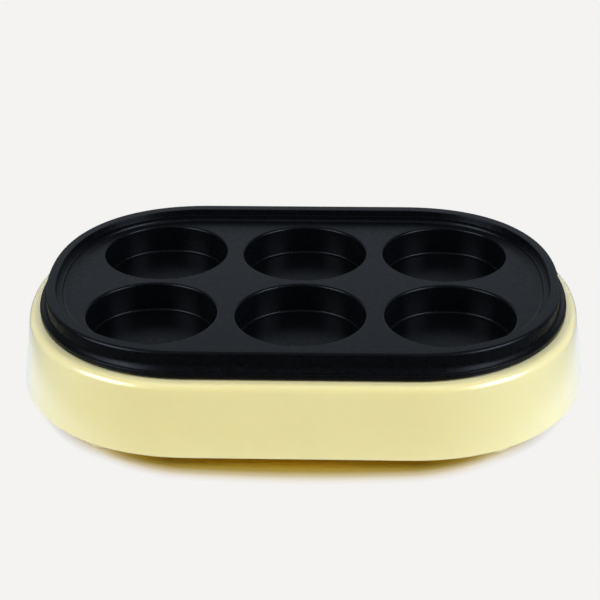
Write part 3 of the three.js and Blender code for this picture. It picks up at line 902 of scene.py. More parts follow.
@dataclass
class CookingPlate(Assembly):
    """The cast plate with six wells, a stepped rim and a flared skirt."""

    well_depth: float = 15.7
    well_draft: float = 0.4
    well_floor_round: float = 1.2
    well_lip_round: float = 1.3
    cast_wall: float = 3.0
    cove_radius: float = 2.0
    seat_width: float = 2.6
    seat_rise: float = 2.0
    land: float = 6.5
    rim_rise: float = 5.4
    rim_round: float = 1.6
    skirt_drop: float = 8.0
    skirt_flare: float = 2.6
    lip_height: float = 3.0
    lip_wall: float = 3.0
    crease: float = 0.5
    flare_top: float = -1.9
    flare_hollow: float = 4.0
    flare_low: float = -4.5
    flare_swell: float = 1.2
    lug_diameter: float = 7.0
    lug_angle: float = 25.0
    lug_offset: float = -10.9
    lug_low_z: float = 32.1
    lug_round: float = 0.6
    lug_steps: int = 32
    well_steps: int = 96
    cut_rise: float = 3.0
    deck_reach: float = 0.5
    under_reach: float = 1.0
    foot_reach: float = 1.0

    def section(self) -> list[Point]:
        """Section of rim, skirt and underside.

        Returns:
            Offsets and heights from the deck's edge round to the underside.
        """
        cove_x = -self.plan.rim_band
        land_x, lip_x = -self.land, self.skirt_flare
        seat_x = cove_x + self.cove_radius + self.seat_width
        lip_top, lip_low = self.lip_height - self.skirt_drop, -self.skirt_drop
        flare_x, back_x = lip_x - self.crease, lip_x - self.lip_wall
        cove_end = math.degrees(math.asin(min(self.seat_rise / self.cove_radius - 1, 0)))
        upper = arc(cove_x, self.cove_radius, self.cove_radius, -90, cove_end, 8)
        outer = rounded([
            (*upper[-1], 0), (seat_x, self.seat_rise, 0.3), (land_x, self.rim_rise, 0.45),
            (0, self.rim_rise, self.rim_round), (0, self.flare_top, self.flare_hollow),
            (flare_x, self.flare_low, self.flare_swell), (flare_x, lip_top, 0.12), (lip_x, lip_top, 0.42),
            (lip_x, lip_low, 0.6), (back_x, lip_low, 0.6), (back_x, lip_low / 2, 1.5),
            (land_x, self.seat_rise - self.cast_wall, 1.5),
            (cove_x + self.cast_wall / 2, -self.cast_wall, 1.0),
            (cove_x - self.under_reach, -self.cast_wall, 0)], 6)
        return [(x, self.plan.deck_z + z) for x, z in [(cove_x - self.deck_reach, 0.0)] + upper + outer[1:]]

    def well(self, growth: float) -> list[Point]:
        """Profile of a well's floor and wall.

        Args:
            growth: 0 inside the well, or the wall's thickness outside it.

        Returns:
            Radii and heights above the deck.
        """
        radius = self.plan.well_diameter / 2
        floor_z = -self.well_depth - growth
        foot = radius - self.well_draft + growth
        bend = self.well_floor_round + growth
        return ([(0, floor_z), (foot - bend - self.foot_reach, floor_z)]
                + arc(foot - bend, floor_z + bend, bend, -90, 0, 10)
                + [(radius + growth, -self.well_lip_round)])

    def build(self) -> None:
        """Builds the plate with its wells and lugs."""
        plan, bend = self.plan, self.well_lip_round
        edge = plan.well_diameter / 2 + bend
        hollow = (self.well(0) + arc(edge, -bend, bend, 180, 90, 6)[1:]
                  + [(edge, self.cut_rise), (0, self.cut_rise)])
        bowl = self.well(self.cast_wall) + [(0, -bend)]
        lug, lug_top = self.lug_diameter / 2, plan.deck_z - OVERRUN
        post = rounded([(0, self.lug_low_z, 0), (lug, self.lug_low_z, self.lug_round), (lug, lug_top, 0),
                        (0, lug_top, 0)])
        lugs = plan.four(*plan.end_point(self.lug_offset, self.lug_angle))
        mesh = Workpiece().carry(self.section(), plan, False).mesh("cast_plate")
        cuts = Workpiece()
        for row in (-1, 1):
            added = Workpiece()
            for x, y in plan.wells():
                if y * row > 0:
                    added.turn(bowl, x, y, plan.deck_z, self.well_steps)
                    cuts.turn(hollow, x, y, plan.deck_z, self.well_steps)
            for x, y in lugs:
                if y * row > 0:
                    added.turn(post, x, y, 0, self.lug_steps)
            mesh = boolean(mesh, added.mesh("bowls"), "UNION")
        mesh = boolean(mesh, cuts.mesh("hollows"), "DIFFERENCE")
        self.put("cast_plate", mesh, "nonstick_cast", "cooking_plate", SMOOTH, body=Body.PLATE)


@dataclass
class Screw:
    """A self-tapping screw with a cross recess and a thread."""

    length: float
    shank: float = 2.9
    head: float = 5.8
    head_height: float = 2.1
    tip: float = 1.6
    recess: float = 3.2
    recess_width: float = 0.75
    recess_depth: float = 1.1
    recess_overrun: float = 0.4
    thread_pitch: float = 1.2
    thread_shares: tuple[float, ...] = (0.3, 0.5, 0.7)
    crown_share: float = 0.55
    brow_share: float = 0.45
    root_share: float = 0.8
    end_share: float = 0.78
    steps: int = 28

    def mesh(self, name: str) -> bpy.types.Mesh:
        """Builds the screw with its bearing face at zero and its shank pointing down.

        Args:
            name: name of the mesh.

        Returns:
            The mesh in metres.
        """
        head, shank, top = self.head / 2, self.shank / 2, self.head_height
        root = shank * self.root_share
        profile = rounded([(0, top, 0), (head * self.crown_share, top, 0.8),
                           (head, top * self.brow_share, 0.5), (head, 0, 0.15), (root, 0, 0)], 5)
        turns = max(int(self.length / self.thread_pitch), 1)
        pitch = self.length / turns
        for i in range(turns):
            profile += [(radius, -pitch * i - pitch * share)
                        for radius, share in zip((root, shank, root), self.thread_shares)]
        profile += [(shank * self.end_share, -self.length), (0, -self.length - self.tip)]
        piece = Workpiece().turn(profile, steps=self.steps)
        cross = Workpiece()
        low, high = top - self.recess_depth, top + self.recess_overrun
        half, wide = self.recess / 2, self.recess_width / 2
        cross.block((-half, -wide, low), (half, wide, high))
        bar = Workpiece().block((-wide, -half, low), (wide, half, high)).mesh("bar")
        cross_mesh = boolean(cross.mesh("cross"), bar, "UNION")
        return boolean(piece.mesh(name), cross_mesh, "DIFFERENCE")


@dataclass
class Housing(Assembly):
    """The pale yellow upper housing with its ring, collar, ledge and bosses."""

    margin: float = 8.6
    draft: float = 4.7
    top_round: float = 4.0
    edge_round: float = 0.9
    wall: float = 2.5
    collar_inset: float = 6.8
    ledge_drop: float = 12.9
    ledge_width: float = 9.0
    ledge_wall: float = 2.5
    bore: float = 1.75
    boss: float = 4.15
    base_screw_offset: float = 1.5
    base_screw_angles: tuple[float, ...] = (-75.0, 0.0, 75.0)
    tower_top_z: float = 12.5
    pan_boss_low_z: float = 18.0
    pan_bore_low_z: float = 20.5
    base_bore_top_z: float = 28.4
    inlet_low_z: float = 8.5
    inlet_high_z: float = 26.1
    inlet_half_width: float = 15.3
    inlet_screw_x: float = 19.0
    inlet_z: float = 17.3
    ear_back_y: float = 92.66
    ear_seat: float = 2.8
    ear_bore: float = 5.2
    window_round: float = 0.5
    window_reach: float = 30.0

    def side(self, z: float) -> float:
        """Offset of the outer face at a height."""
        top = self.plan.ring_z - self.top_round
        return self.margin + self.draft * (top - z) / (top - self.plan.edge_z)

    def screw_places(self) -> list[Point]:
        """Places of the six screws that hold the base cover.

        Returns:
            Their x and y, right side first.
        """
        spots = []
        for side in (1, -1):
            for angle in self.base_screw_angles:
                x, y = self.plan.end_point(self.base_screw_offset, angle)
                spots.append((side * x, y))
        return spots

    def pan_screw_places(self) -> list[Point]:
        """Places of the four screws that hold the pan."""
        y = self.plan.half_depth - self.collar_inset - self.ledge_width / 2
        return self.plan.four(self.plan.pitch_x / 2, y)

    def section(self) -> list[Point]:
        """Closed section of the housing's wall.

        Returns:
            Offsets and heights.
        """
        ring = self.plan.ring_z
        ledge = ring - self.ledge_drop
        collar = -self.collar_inset
        low = self.side(self.plan.edge_z)
        return rounded([
            (low - self.wall, self.plan.edge_z, 0.5), (low, self.plan.edge_z, self.edge_round),
            (self.side(ring), ring, self.top_round), (collar, ring, 0.7), (collar, ledge, 0.6),
            (collar - self.ledge_width, ledge, 0.5), (collar - self.ledge_width, ledge - self.ledge_wall, 0.4),
            (collar + self.wall, ledge - self.ledge_wall, 0), (collar + self.wall, ring - self.wall, 0.6),
            (self.side(ring - self.wall) - self.wall, ring - self.wall, 1.5)], 7, True)

    def build(self) -> None:
        """Builds the housing with its posts, bores and inlet window."""
        plan = self.plan
        ledge = plan.ring_z - self.ledge_drop
        posts, cuts = Workpiece(), Workpiece()
        for x, y in self.screw_places():
            posts.turn(rod(self.boss, self.tower_top_z + GAP, plan.ring_z - self.wall / 2), x, y)
            cuts.turn(rod(self.bore, self.tower_top_z, self.base_bore_top_z), x, y, steps=BORE_STEPS)
        for x, y in self.pan_screw_places():
            posts.turn(rod(self.boss, self.pan_boss_low_z, ledge - self.ledge_wall / 2), x, y)
            cuts.turn(rod(self.bore, self.pan_bore_low_z, ledge + OVERRUN), x, y, steps=BORE_STEPS)
        wall_y = plan.half_depth + self.side(self.inlet_z) - self.wall
        ear = rod(self.boss, self.ear_back_y + self.ear_seat, wall_y + self.wall / 2)
        ear_bore = rod(self.bore, self.ear_back_y, self.ear_back_y + self.ear_bore)
        for x in (-self.inlet_screw_x, self.inlet_screw_x):
            posts.turn(ear, x, 0, self.inlet_z, axis=Axis.BACK)
            cuts.turn(ear_bore, x, 0, self.inlet_z, BORE_STEPS, Axis.BACK)
        half = self.inlet_half_width
        cuts.block((-half, self.ear_back_y, self.inlet_low_z),
                   (half, plan.half_depth + self.window_reach, self.inlet_high_z), self.window_round)
        mesh = Workpiece().carry(self.section(), plan, True).joined("yellow_housing", posts, cuts)
        self.put("yellow_housing", mesh, "yellow_housing", "upper_housing", SMOOTH)


@dataclass
class BaseCover(Assembly):
    """The cover under the base, with feet, screw towers, vents and rubber pads."""

    housing: Housing
    recess: float = 1.0
    wall: float = 2.5
    lip_height: float = 4.0
    lip_wall: float = 2.0
    seat_gap: float = 0.3
    foot_diameter: float = 16.0
    foot_taper: float = 0.5
    foot_inset: float = 0.1
    foot_angle: float = 60.0
    pad_diameter: float = 10.4
    pad_height: float = 2.3
    pad_proud: float = 0.5
    vent_width: float = 3.0
    vent_length: float = 34.0
    vent_pitch: float = 8.0
    vent_count: int = 6
    head_recess: float = 3.2
    screw_seat: float = 2.4
    screw_length: float = 16.0
    head_chamfer: float = 0.5
    tower_wall: float = 1.2
    vent_round_share: float = 0.98
    notch_room: float = 8.0
    notch_y: tuple[float, float] = (78.16, 120.0)
    skin_reach: float = 6.0
    inner_reach: float = 2.0
    groove: tuple[float, ...] = (1.6, 1.9, 2.5, 2.8)
    groove_depth: float = 0.3
    foot_steps: int = 64
    pad_steps: int = 56

    def offset(self) -> float:
        """Offset of the cover's edge."""
        top = self.plan.edge_z + self.recess + self.wall
        return self.housing.side(top) - self.housing.wall - self.seat_gap

    def section(self) -> list[Point]:
        """Section from the underside's edge over the lip to the inside.

        Returns:
            Offsets and heights.
        """
        edge = self.offset()
        low = self.plan.edge_z + self.recess
        top = low + self.wall
        lip = edge - self.lip_wall
        inner, lip_top = lip - self.lip_wall, top + self.lip_height
        return rounded([(edge - self.skin_reach, low, 0), (edge, low, 0.6), (edge, top, 0.2), (lip, top, 0),
                        (lip, lip_top, 0.3), (inner, lip_top, 0.3), (inner, top, 0),
                        (inner - self.inner_reach, top, 0)], 4)

    def build(self) -> None:
        """Builds the cover, its pads and its screws."""
        plan, housing = self.plan, self.housing
        low = plan.edge_z + self.recess
        top = low + self.wall
        tower, foot = housing.tower_top_z, self.foot_diameter / 2
        spots = plan.four(*plan.end_point(self.offset() - self.foot_inset - foot, self.foot_angle))
        shell = rounded([(0, self.pad_proud, 0), (foot - self.foot_taper, self.pad_proud, 0.7),
                         (foot, low + OVERRUN, 0), (0, low + OVERRUN, 0)])
        pocket = rod(self.pad_diameter / 2 + GAP, -OVERRUN, self.pad_height + GAP)
        added, cuts = Workpiece(), Workpiece()
        for x, y in spots:
            added.turn(shell, x, y, steps=self.foot_steps)
            cuts.turn(pocket, x, y, steps=self.foot_steps)
        head, seat = self.head_recess, tower - self.screw_seat
        wide, start = head + self.head_chamfer, low - OVERRUN
        sink = [(0, start), (wide, start), (head, low + self.head_chamfer), (head, seat), (housing.bore, seat),
                (housing.bore, tower + OVERRUN), (0, tower + OVERRUN)]
        for x, y in housing.screw_places():
            added.turn(rod(head + self.tower_wall, low + GAP, tower), x, y)
            cuts.turn(sink, x, y)
        half, reach = self.vent_width / 2, self.vent_length / 2
        for side in (-1, 1):
            for i in range(self.vent_count):
                x = side * plan.pitch_x + (i - (self.vent_count - 1) / 2) * self.vent_pitch
                cuts.block((x - half, -reach, start), (x + half, reach, top + OVERRUN),
                           half * self.vent_round_share, 6, True)
        notch = housing.inlet_half_width + self.notch_room
        front, back = self.notch_y
        cuts.block((-notch, front, top), (notch, back, top + self.lip_height + OVERRUN))
        mesh = Workpiece().carry(self.section(), plan, False).joined("yellow_base_cover", added, cuts)
        self.put("yellow_base_cover", mesh, "yellow_housing", "base_cover", SMOOTH)
        self.pads(spots)
        for i, (x, y) in enumerate(housing.screw_places()):
            self.screw(f"base_screw_{i + 1}", self.screw_length, (x, y, seat - GAP), Axis.DOWN)

    def pads(self, spots: list[Point]) -> None:
        """Builds the four rubber pads with a grooved underside.

        Args:
            spots: their places.
        """
        radius = self.pad_diameter / 2
        start, left, right, end = self.groove
        profile = rounded([(0, 0, 0), (start, 0, 0), (left, self.groove_depth, 0),
                           (right, self.groove_depth, 0), (end, 0, 0), (radius, 0, 0.35),
                           (radius, self.pad_height, 0.2), (0, self.pad_height, 0)], 4)
        for name, (x, y) in zip(QUARTERS, spots):
            mesh = Workpiece().turn(profile, x, y, steps=self.pad_steps).mesh(f"rubber_pad_{name}")
            self.put(f"rubber_pad_{name}", mesh, "foot_rubber", f"foot_pad_{name}")


@dataclass
class Inlet(Assembly):
    """The recessed appliance inlet in the rear wall."""

    housing: Housing
    half_width: float = 15.0
    low_z: float = 8.8
    high_z: float = 25.8
    front_y: float = 98.16
    depth: float = 20.0
    side_wall: float = 3.5
    top_wall: float = 2.2
    cavity_depth: float = 15.0
    ear: float = 8.0
    ear_inset: float = 3.0
    ear_wall: float = 2.5
    ear_back_y: float = 92.66
    pin_diameter: float = 4.0
    pin_pitch: float = 12.7
    pin_back_y: float = 74.16
    pin_front_y: float = 94.66
    screw_length: float = 3.6
    mouth: float = 3.0
    cavity_round: float = 1.2
    body_round: float = 0.45
    ear_round: float = 0.3
    pin_steps: int = 40

    def build(self) -> None:
        """Builds the socket, its pins and its screws."""
        housing, axis_z = self.housing, self.housing.inlet_z
        half, front, low, high = self.half_width, self.front_y, self.low_z, self.high_z
        back, cavity_y = front - self.depth, front - self.cavity_depth
        ear_x, ear_y = half + self.ear, self.ear_back_y + self.ear_wall
        body = Workpiece().block((-half, back, low), (half, front, high), self.body_round)
        ears = Workpiece().block((-ear_x, self.ear_back_y, low + self.ear_inset),
                                 (ear_x, ear_y, high - self.ear_inset), self.ear_round)
        cuts, cavity_x = Workpiece(), half - self.side_wall
        cuts.block((-cavity_x, cavity_y, low + self.top_wall),
                   (cavity_x, front + self.mouth, high - self.top_wall), self.cavity_round, 4)
        radius = self.pin_diameter / 2
        for side in (-1, 1):
            cuts.turn(rod(radius + GAP, back - OVERRUN, cavity_y + OVERRUN), side * self.pin_pitch / 2, 0,
                      axis_z, self.pin_steps, Axis.BACK)
            cuts.turn(rod(housing.bore, self.ear_back_y - OVERRUN, ear_y + OVERRUN),
                      side * housing.inlet_screw_x, 0, axis_z, BORE_STEPS, Axis.BACK)
        mesh = body.joined("black_inlet", ears, cuts)
        self.put("black_inlet", mesh, "black_moulding", "inlet_socket")
        pin = rounded([(0, self.pin_back_y, 0), (radius, self.pin_back_y, 0.3), (radius, self.pin_front_y, 1.4),
                       (0, self.pin_front_y, 0)], 8)
        for name, side in SIDES:
            piece = Workpiece().turn(pin, side * self.pin_pitch / 2, 0, axis_z, self.pin_steps, Axis.BACK)
            self.put(f"brass_pin_{name}", piece.mesh(f"brass_pin_{name}"), "brass_pins", f"inlet_pin_{name}")
            spot = (side * housing.inlet_screw_x, self.ear_back_y - GAP, axis_z)
            self.screw(f"inlet_screw_{name}", self.screw_length, spot, Axis.FRONT)


@dataclass
class HeatUnit(Assembly):
    """The reflector pan, the heating element and what holds them."""

    housing: Housing
    pan_floor_z: float = 21.6
    pan_wall: float = 1.0
    flange_z: float = 31.8
    flange_offset: float = -7.4
    wall_offset: float = -17.8
    floor_offset: float = -20.8
    bead_offset: float = -26.8
    bead_width: float = 5.0
    bead_rise: float = 0.9
    element_z: float = 27.5
    element_diameter: float = 7.0
    element_straight: float = 68.0
    element_bend: float = 8.0
    element_end_x: float = 14.0
    element_end_z: float = 14.55
    hole_clearance: float = 1.2
    clip_wall: float = 0.8
    clip_width: float = 8.0
    clip_foot: float = 5.0
    thermostat_x: float = -42.0
    thermostat_screw_x: float = 12.2
    thermostat_screw_z: float = 16.42
    thermostat_screw_length: float = 5.0
    pan_screw_length: float = 9.0
    hole_z: tuple[float, float] = (15.0, 25.0)
    flange_hole_z: tuple[float, float] = (28.0, 35.0)
    clip_softening: float = 0.00015
    bent_angle: float = 40.0
    bend_share: float = 0.5523
    bend_steps: int = 18
    tube_sides: int = 32
    floor_reach: float = 1.5
    bead_slope: float = 1.2

    def pan_section(self) -> list[Point]:
        """Section of the pan from its floor over the flange to its underside.

        Returns:
            Offsets and heights.
        """
        floor, under = self.pan_floor_z, self.pan_floor_z - self.pan_wall
        inner = self.bead_offset - self.bead_width
        bead, slope = floor + self.bead_rise, self.bead_slope
        top = [(inner - self.floor_reach, floor, 0), (inner, floor, 1.2), (inner + slope, bead, 1.0),
               (self.bead_offset - slope, bead, 1.0), (self.bead_offset, floor, 1.2)]
        low = [(x, z - self.pan_wall, radius) for x, z, radius in reversed(top)]
        low_z = self.flange_z - self.pan_wall
        edge = [(self.floor_offset, floor, 1.5), (self.wall_offset, self.flange_z, 1.4),
                (self.flange_offset, self.flange_z, 0.3), (self.flange_offset, low_z, 0.3),
                (self.wall_offset + self.pan_wall, low_z, 0.5),
                (self.floor_offset + self.pan_wall, under, 2.4)]
        return rounded(top + edge + low, 4)

    def element_path(self) -> list[Vector]:
        """Middle line of the element from its left cold end round to its right one.

        Returns:
            Its points.
        """
        half = []
        z, row, end = self.element_z, self.plan.row_y, self.element_end_x
        turn = self.element_straight
        half.append(Vector((end, row, self.element_end_z)))
        half += self.bend((end, row, z - self.element_bend), (end, row, z), (end + self.element_bend, row, z))
        half += self.bend((turn, row, z), (turn + row, row, z), (turn + row, 0, z))
        half += self.bend((turn + row, 0, z), (turn + row, -row, z), (turn, -row, z))[1:]
        left = [Vector((-p.x, p.y, p.z)) for p in half]
        return left + half[::-1]

    def bend(self, start: Triple, corner: Triple, end: Triple) -> list[Vector]:
        """Quarter bend between two straight runs.

        Args:
            start: where it starts.
            corner: where the runs would meet.
            end: where it ends.

        Returns:
            Its points.
        """
        a, c, d = Vector(start), Vector(corner), Vector(end)
        leave, arrive = a.lerp(c, self.bend_share), d.lerp(c, self.bend_share)
        points = []
        for i in range(self.bend_steps + 1):
            t = i / self.bend_steps
            points.append(a * (1 - t) ** 3 + leave * 3 * t * (1 - t) ** 2 + arrive * 3 * t * t * (1 - t)
                          + d * t ** 3)
        return points

    def build(self) -> None:
        """Builds the pan, the element, the clips and the screws."""
        plan, housing = self.plan, self.housing
        cuts = Workpiece()
        radius = self.element_diameter / 2 + self.hole_clearance
        for side in (-1, 1):
            cuts.turn(rod(radius, *self.hole_z), side * self.element_end_x, plan.row_y)
            cuts.turn(rod(housing.bore, *self.hole_z), self.thermostat_x + side * self.thermostat_screw_x, 0,
                      steps=BORE_STEPS)
        for x, y in housing.pan_screw_places():
            cuts.turn(rod(housing.bore, *self.flange_hole_z), x, y, steps=BORE_STEPS)
        pan = Workpiece().carry(self.pan_section(), plan, False).joined("steel_pan", None, cuts)
        self.put("steel_pan", pan, "aluminised_steel", "reflector_pan", self.bent_angle)
        tube = Workpiece().sweep(self.element_path(), self.element_diameter / 2, self.tube_sides)
        tube = tube.mesh("element_tube")
        self.put("element_tube", tube, "element_sheath", "heating_element", self.bent_angle, False)
        for name, (x, y) in zip(QUARTERS, plan.four(plan.pitch_x / 2, plan.row_y)):
            self.clip(name, x, y)
        for name, (x, y) in zip(QUARTERS, housing.pan_screw_places()):
            self.screw(f"pan_screw_{name}", self.pan_screw_length, (x, y, self.flange_z + GAP), Axis.UP)
        for name, side in SIDES:
            spot = (self.thermostat_x + side * self.thermostat_screw_x, 0, self.thermostat_screw_z)
            self.screw(f"thermostat_screw_{name}", self.thermostat_screw_length, spot, Axis.DOWN)

    def clip(self, name: str, x: float, y: float) -> None:
        """Builds one strap over the element.

        Args:
            name: which quarter it is in.
            x: its place along the element.
            y: the element's place.
        """
        wall, base_z = self.clip_wall, self.pan_floor_z + GAP
        inner = self.element_diameter / 2 + GAP
        middle, foot_z = inner + wall / 2, base_z + wall / 2
        line = rounded([(-inner - wall - self.clip_foot, foot_z, 0), (-middle, foot_z, 0.8),
                        (-middle, self.element_z, 0)], 4)
        over = arc(0, self.element_z, middle, 180, 0, 20)
        points = line + over[1:] + [(-a, b) for a, b in reversed(line)][1:]
        piece = Workpiece()
        verts = [piece.bm.verts.new((x - self.clip_width / 2, y + a, b)) for a, b in points]
        made, _ = piece.pull([piece.bm.edges.new(pair) for pair in zip(verts, verts[1:])])
        bmesh.ops.translate(piece.bm, vec=(self.clip_width, 0, 0), verts=made)
        piece.outwards()
        bmesh.ops.solidify(piece.bm, geom=piece.bm.faces[:], thickness=wall)
        low = min(vert.co.z for vert in piece.bm.verts)
        bmesh.ops.translate(piece.bm, vec=(0, 0, base_z - low), verts=piece.bm.verts[:])
        mesh = piece.outwards().mesh(f"element_strap_{name}")
        strap = self.put(f"element_strap_{name}", mesh, "plated_steel", f"element_clip_{name}",
                         self.bent_angle)
        soften = strap.modifiers.new("soft edges", "BEVEL")
        soften.width, soften.segments, soften.limit_method = self.clip_softening, 2, "ANGLE"
        strap.modifiers.move(1, 0)


class InnerNodes(Assembly):
    """Frame nodes under the pan that keep their shape."""

    def build(self) -> None:
        """Gives each node its finish."""
        self.dress("white_ceramic", "ceramic_bush_left", "ceramic_bush_right", "thermal_fuse")
        self.dress("plated_steel", "element_terminal_left", "element_terminal_right", "thermostat_bracket",
                   "fuse_clamp")
        self.dress("brown_phenolic", "thermostat")
        self.dress("lead_sleeve", "return_lead", "feed_lead", "link_lead", "element_lead")


# ---------------------------------------------------------------- studio


@dataclass(frozen=True)
class SoftBox:
    """A soft lamp that stands round the maker and faces it."""

    name: str
    turn: float
    height: float
    away: float
    size: tuple[float, float]
    power: float
    color: Color = (0.95, 0.97, 1.05)
    shows: bool = False
    lights: bool = True

    def stand(self, aim: Vector) -> None:
        """Sets up the lamp.

        Args:
            aim: what it faces.
        """
        turn, height = math.radians(self.turn), math.radians(self.height)
        way = Vector((math.sin(turn) * math.cos(height), -math.cos(turn) * math.cos(height), math.sin(height)))
        data = bpy.data.lights.new(self.name, "AREA")
        data.shape = "RECTANGLE"
        data.size, data.size_y = self.size
        data.energy = self.power
        data.color = self.color
        lamp = bpy.data.objects.new(self.name, data)
        bpy.context.scene.collection.objects.link(lamp)
        lamp.visible_glossy = self.shows
        lamp.visible_diffuse = self.lights
        lamp.location = aim + way * self.away
        lamp.rotation_euler = (-way).to_track_quat("-Z", "Y").to_euler()


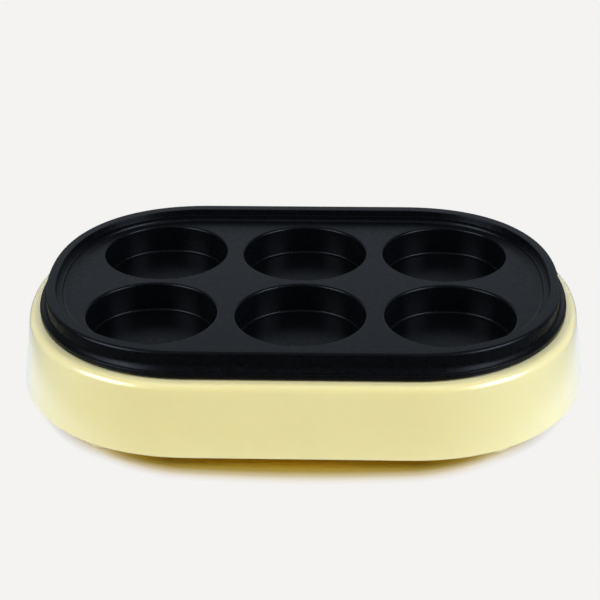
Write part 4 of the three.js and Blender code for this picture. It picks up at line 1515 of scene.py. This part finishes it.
@dataclass
class Studio:
    """Camera, pale floor with a painted shadow strip near the maker, and soft lamps."""

    lens: float = 96.6
    sensor: float = 36.0
    camera_place: Triple = (0.0280, -0.7691, 0.4386)
    camera_pan: float = 2.20
    camera_tilt: float = 27.31
    camera_roll: float = -0.475
    clip: tuple[float, float] = (0.05, 50)
    paper: Color = (0.905, 0.896, 0.880)
    floor_color: Color = (0.86, 0.855, 0.84)
    sky: Color = (0.80, 0.88, 0.98)
    ambient: float = 0.46
    boxes: tuple[SoftBox, ...] = (
        SoftBox("left box", -61, 33, 1.15, (0.6, 0.5), 5.2, shows=True),
        SoftBox("right box", 63, 33, 1.15, (0.55, 0.5), 5.6, shows=True),
        SoftBox("left end box", -104, 25, 1.15, (0.5, 0.7), 3.1, (0.62, 0.85, 1.7)),
        SoftBox("right end box", 88, 25, 1.15, (0.5, 0.7), 4.0, (0.62, 0.85, 1.7)),
        SoftBox("left low box", -57, 19, 1.15, (0.75, 0.6), 5.8, shows=True, lights=False),
        SoftBox("right low box", 60, 19, 1.15, (0.75, 0.6), 5.8, shows=True, lights=False),
        SoftBox("top box", 0, 81, 1.3, (1.2, 0.9), 2.4, shows=True),
    )
    aim: Triple = (0, 0, 0.03)
    gloss_dark: float = 0.055
    gloss_pale: float = 0.55
    gloss_front_y: tuple[float, float] = (0.3, 0.75)
    gloss_top_z: tuple[float, float] = (0.76, 0.6)
    gloss_floor_y: tuple[float, float] = (-0.16, -0.09)
    gloss_floor_reach: tuple[float, float] = (0.14, 0.175)
    floor_half: float = 3.0
    # Painted shadow on the floor near the maker: its reach, its strength, the ramp of gold-brown to grey
    # shades, where even paper takes over and how it fades toward the ends.
    painted_shadow_reach: tuple[float, float] = (0.094, 0.118)
    painted_shadow_share: float = 0.9
    shades: tuple[tuple[float, Color], ...] = (
        (0.05, (0.75, 0.39, 0.01)), (0.25, (0.39, 0.25, 0.02)), (0.38, (0.38, 0.27, 0.05)),
        (0.6, (0.63, 0.54, 0.36)), (0.85, (0.78, 0.75, 0.68)))
    paper_reach: tuple[float, float] = (0.109, 0.118)
    end_fade: tuple[float, float] = (0.0075, 0.0094)
    # Painted light: how strongly, and where, the floor glows by itself near the maker's front corners.
    painted_corner_light: float = 0.75
    corner_squared: tuple[float, float] = (0.004, 0.009)
    painted_light_reach: tuple[float, float] = (0.097, 0.108)
    middle_line: float = 0.054
    end_stretch: float = 1.18

    def camera(self) -> None:
        """Sets up the camera."""
        data = bpy.data.cameras.new("camera")
        data.lens, data.sensor_width = self.lens, self.sensor
        data.clip_start, data.clip_end = self.clip
        camera = bpy.data.objects.new("camera", data)
        bpy.context.scene.collection.objects.link(camera)
        turn = (Matrix.Rotation(math.radians(self.camera_pan), 4, "Z")
                @ Matrix.Rotation(math.radians(90 - self.camera_tilt), 4, "X")
                @ Matrix.Rotation(math.radians(self.camera_roll), 4, "Z"))
        camera.matrix_world = Matrix.Translation(self.camera_place) @ turn
        bpy.context.scene.camera = camera

    def world(self) -> None:
        """Lights the world evenly, shows it as pale paper and darkens its front and top in gloss."""
        world = bpy.data.worlds.new("studio")
        bpy.context.scene.world = world
        world.use_nodes = True
        wiring = Wiring(world.node_tree)
        background = world.node_tree.nodes["Background"]
        way = wiring.node("ShaderNodeSeparateXYZ")
        wiring.wire(wiring.node("ShaderNodeTexCoord").outputs["Generated"], way.inputs["Vector"])
        behind = wiring.spread(way.outputs["Y"], 0, 1, *self.gloss_front_y)
        low = wiring.spread(way.outputs["Z"], 0, 1, *self.gloss_top_z)
        gloss = wiring.spread(wiring.math("MULTIPLY", behind, low), self.gloss_dark, self.gloss_pale, 0, 1)
        path = wiring.node("ShaderNodeLightPath").outputs
        seen = wiring.math("MAXIMUM", path["Is Camera Ray"], path["Is Transmission Ray"])
        level = wiring.choose(path["Is Glossy Ray"], wiring.choose(seen, self.ambient, 1.0), gloss)
        wiring.wire(level, background.inputs["Strength"])
        color = wiring.shades(path["Is Glossy Ray"], [(0, self.paper), (1, self.sky)])
        wiring.wire(color, background.inputs["Color"])

    def floor(self) -> None:
        """Lays the pale floor, with a painted gold-brown shadow strip and a painted glow near the maker for the
        camera only, which turns into even paper away from the maker.
        """
        piece = bmesh.new()
        bmesh.ops.create_grid(piece, x_segments=4, y_segments=4, size=self.floor_half)
        mesh = bpy.data.meshes.new("floor")
        piece.to_mesh(mesh)
        piece.free()
        floor = bpy.data.objects.new("floor", mesh)
        bpy.context.scene.collection.objects.link(floor)
        board = Board("pale paper floor", self.floor_color, Roughness=0.9, Specular_IOR_Level=0.1)
        path = board.node("ShaderNodeLightPath").outputs
        place = board.node("ShaderNodeSeparateXYZ")
        board.wire(board.coordinates(), place.inputs["Vector"])
        reach = self.reach(board)
        squared = board.math("MULTIPLY", place.outputs["X"], place.outputs["X"])
        shift, full = self.end_fade
        shifted = board.math("ADD", reach, board.spread(squared, 0, shift, 0, full))
        away = board.spread(shifted, 0, self.painted_shadow_share, *self.painted_shadow_reach)
        # Painted shadow: for camera rays the floor's colour follows the ramp by distance from the maker, in
        # place of a cast shadow.
        painted_shadow = board.shades(board.choose(path["Is Camera Ray"], 1.0, away),
                             [*self.shades, (1, self.floor_color)])
        board.wire(painted_shadow, board.shader.inputs["Base Color"])
        board.wire(painted_shadow, board.shader.inputs["Emission Color"])
        # Painted light: emission in the floor's own shade colour brightens it near the front corners, for
        # camera rays only.
        painted_light = board.math("MULTIPLY", board.spread(squared, 0, self.painted_corner_light, *self.corner_squared),
                          board.spread(reach, 1, 0, *self.painted_light_reach))
        painted_light = board.math("MULTIPLY", painted_light, path["Is Camera Ray"])
        board.wire(painted_light, board.shader.inputs["Emission Strength"])
        gloss = board.math("MULTIPLY", board.spread(reach, 1, 0, *self.gloss_floor_reach),
                           board.spread(place.outputs["Y"], 0, 1, *self.gloss_floor_y))
        gloss = board.spread(gloss, self.gloss_dark, 1.0, 0, 1)
        paper = board.node("ShaderNodeEmission")
        color = board.shades(path["Is Glossy Ray"], [(0, self.paper), (1, self.sky)])
        board.wire(color, paper.inputs["Color"])
        board.wire(board.choose(path["Is Glossy Ray"], 1.0, gloss), paper.inputs["Strength"])
        seen = board.math("MAXIMUM", path["Is Camera Ray"], path["Is Transmission Ray"])
        seen = board.math("MAXIMUM", seen, path["Is Glossy Ray"])
        mix = board.node("ShaderNodeMixShader")
        share = board.math("MULTIPLY", seen, board.spread(shifted, 0.0, 1.0, *self.paper_reach))
        board.wire(share, mix.inputs["Fac"])
        board.wire(board.shader.outputs[0], mix.inputs[1])
        board.wire(paper.outputs[0], mix.inputs[2])
        board.wire(mix.outputs[0], board.tree.nodes["Material Output"].inputs["Surface"])
        mesh.materials.append(board.material)

    def reach(self, board: Board) -> Socket:
        """Distance on the floor from the maker's middle line.

        Args:
            board: the floor's material.

        Returns:
            The distance in metres.
        """
        value = board.coordinates()
        steps = (("ABSOLUTE", None), ("SUBTRACT", (self.middle_line, 0, 0)), ("MAXIMUM", (0, 0, 0)),
                 ("MULTIPLY", (self.end_stretch, 1, 1)))
        for operation, other in steps:
            step = board.node("ShaderNodeVectorMath", operation=operation)
            board.wire(value, step.inputs[0])
            if other is not None:
                step.inputs[1].default_value = other
            value = step.outputs["Vector"]
        length = board.node("ShaderNodeVectorMath", operation="LENGTH")
        board.wire(value, length.inputs[0])
        return length.outputs["Value"]

    def build(self) -> None:
        """Sets up the whole studio."""
        self.camera()
        self.world()
        self.floor()
        for box in self.boxes:
            box.stand(Vector(self.aim))
        bpy.context.scene.view_settings.view_transform = "Standard"


def main() -> None:
    """Builds the maker and its studio."""
    logging.basicConfig(level=logging.INFO, format="%(message)s")
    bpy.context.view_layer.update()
    finishes = {slot: finish.material() for slot, finish in FINISHES.items()}
    housing = Housing(PLAN, finishes)
    Studio().build()
    parts = (CookingPlate(PlatePlan(), finishes), housing, BaseCover(PLAN, finishes, housing),
             Inlet(PLAN, finishes, housing), HeatUnit(PLAN, finishes, housing), InnerNodes(PLAN, finishes))
    for part in parts:
        part.build()


if __name__ == "__main__":
    main()
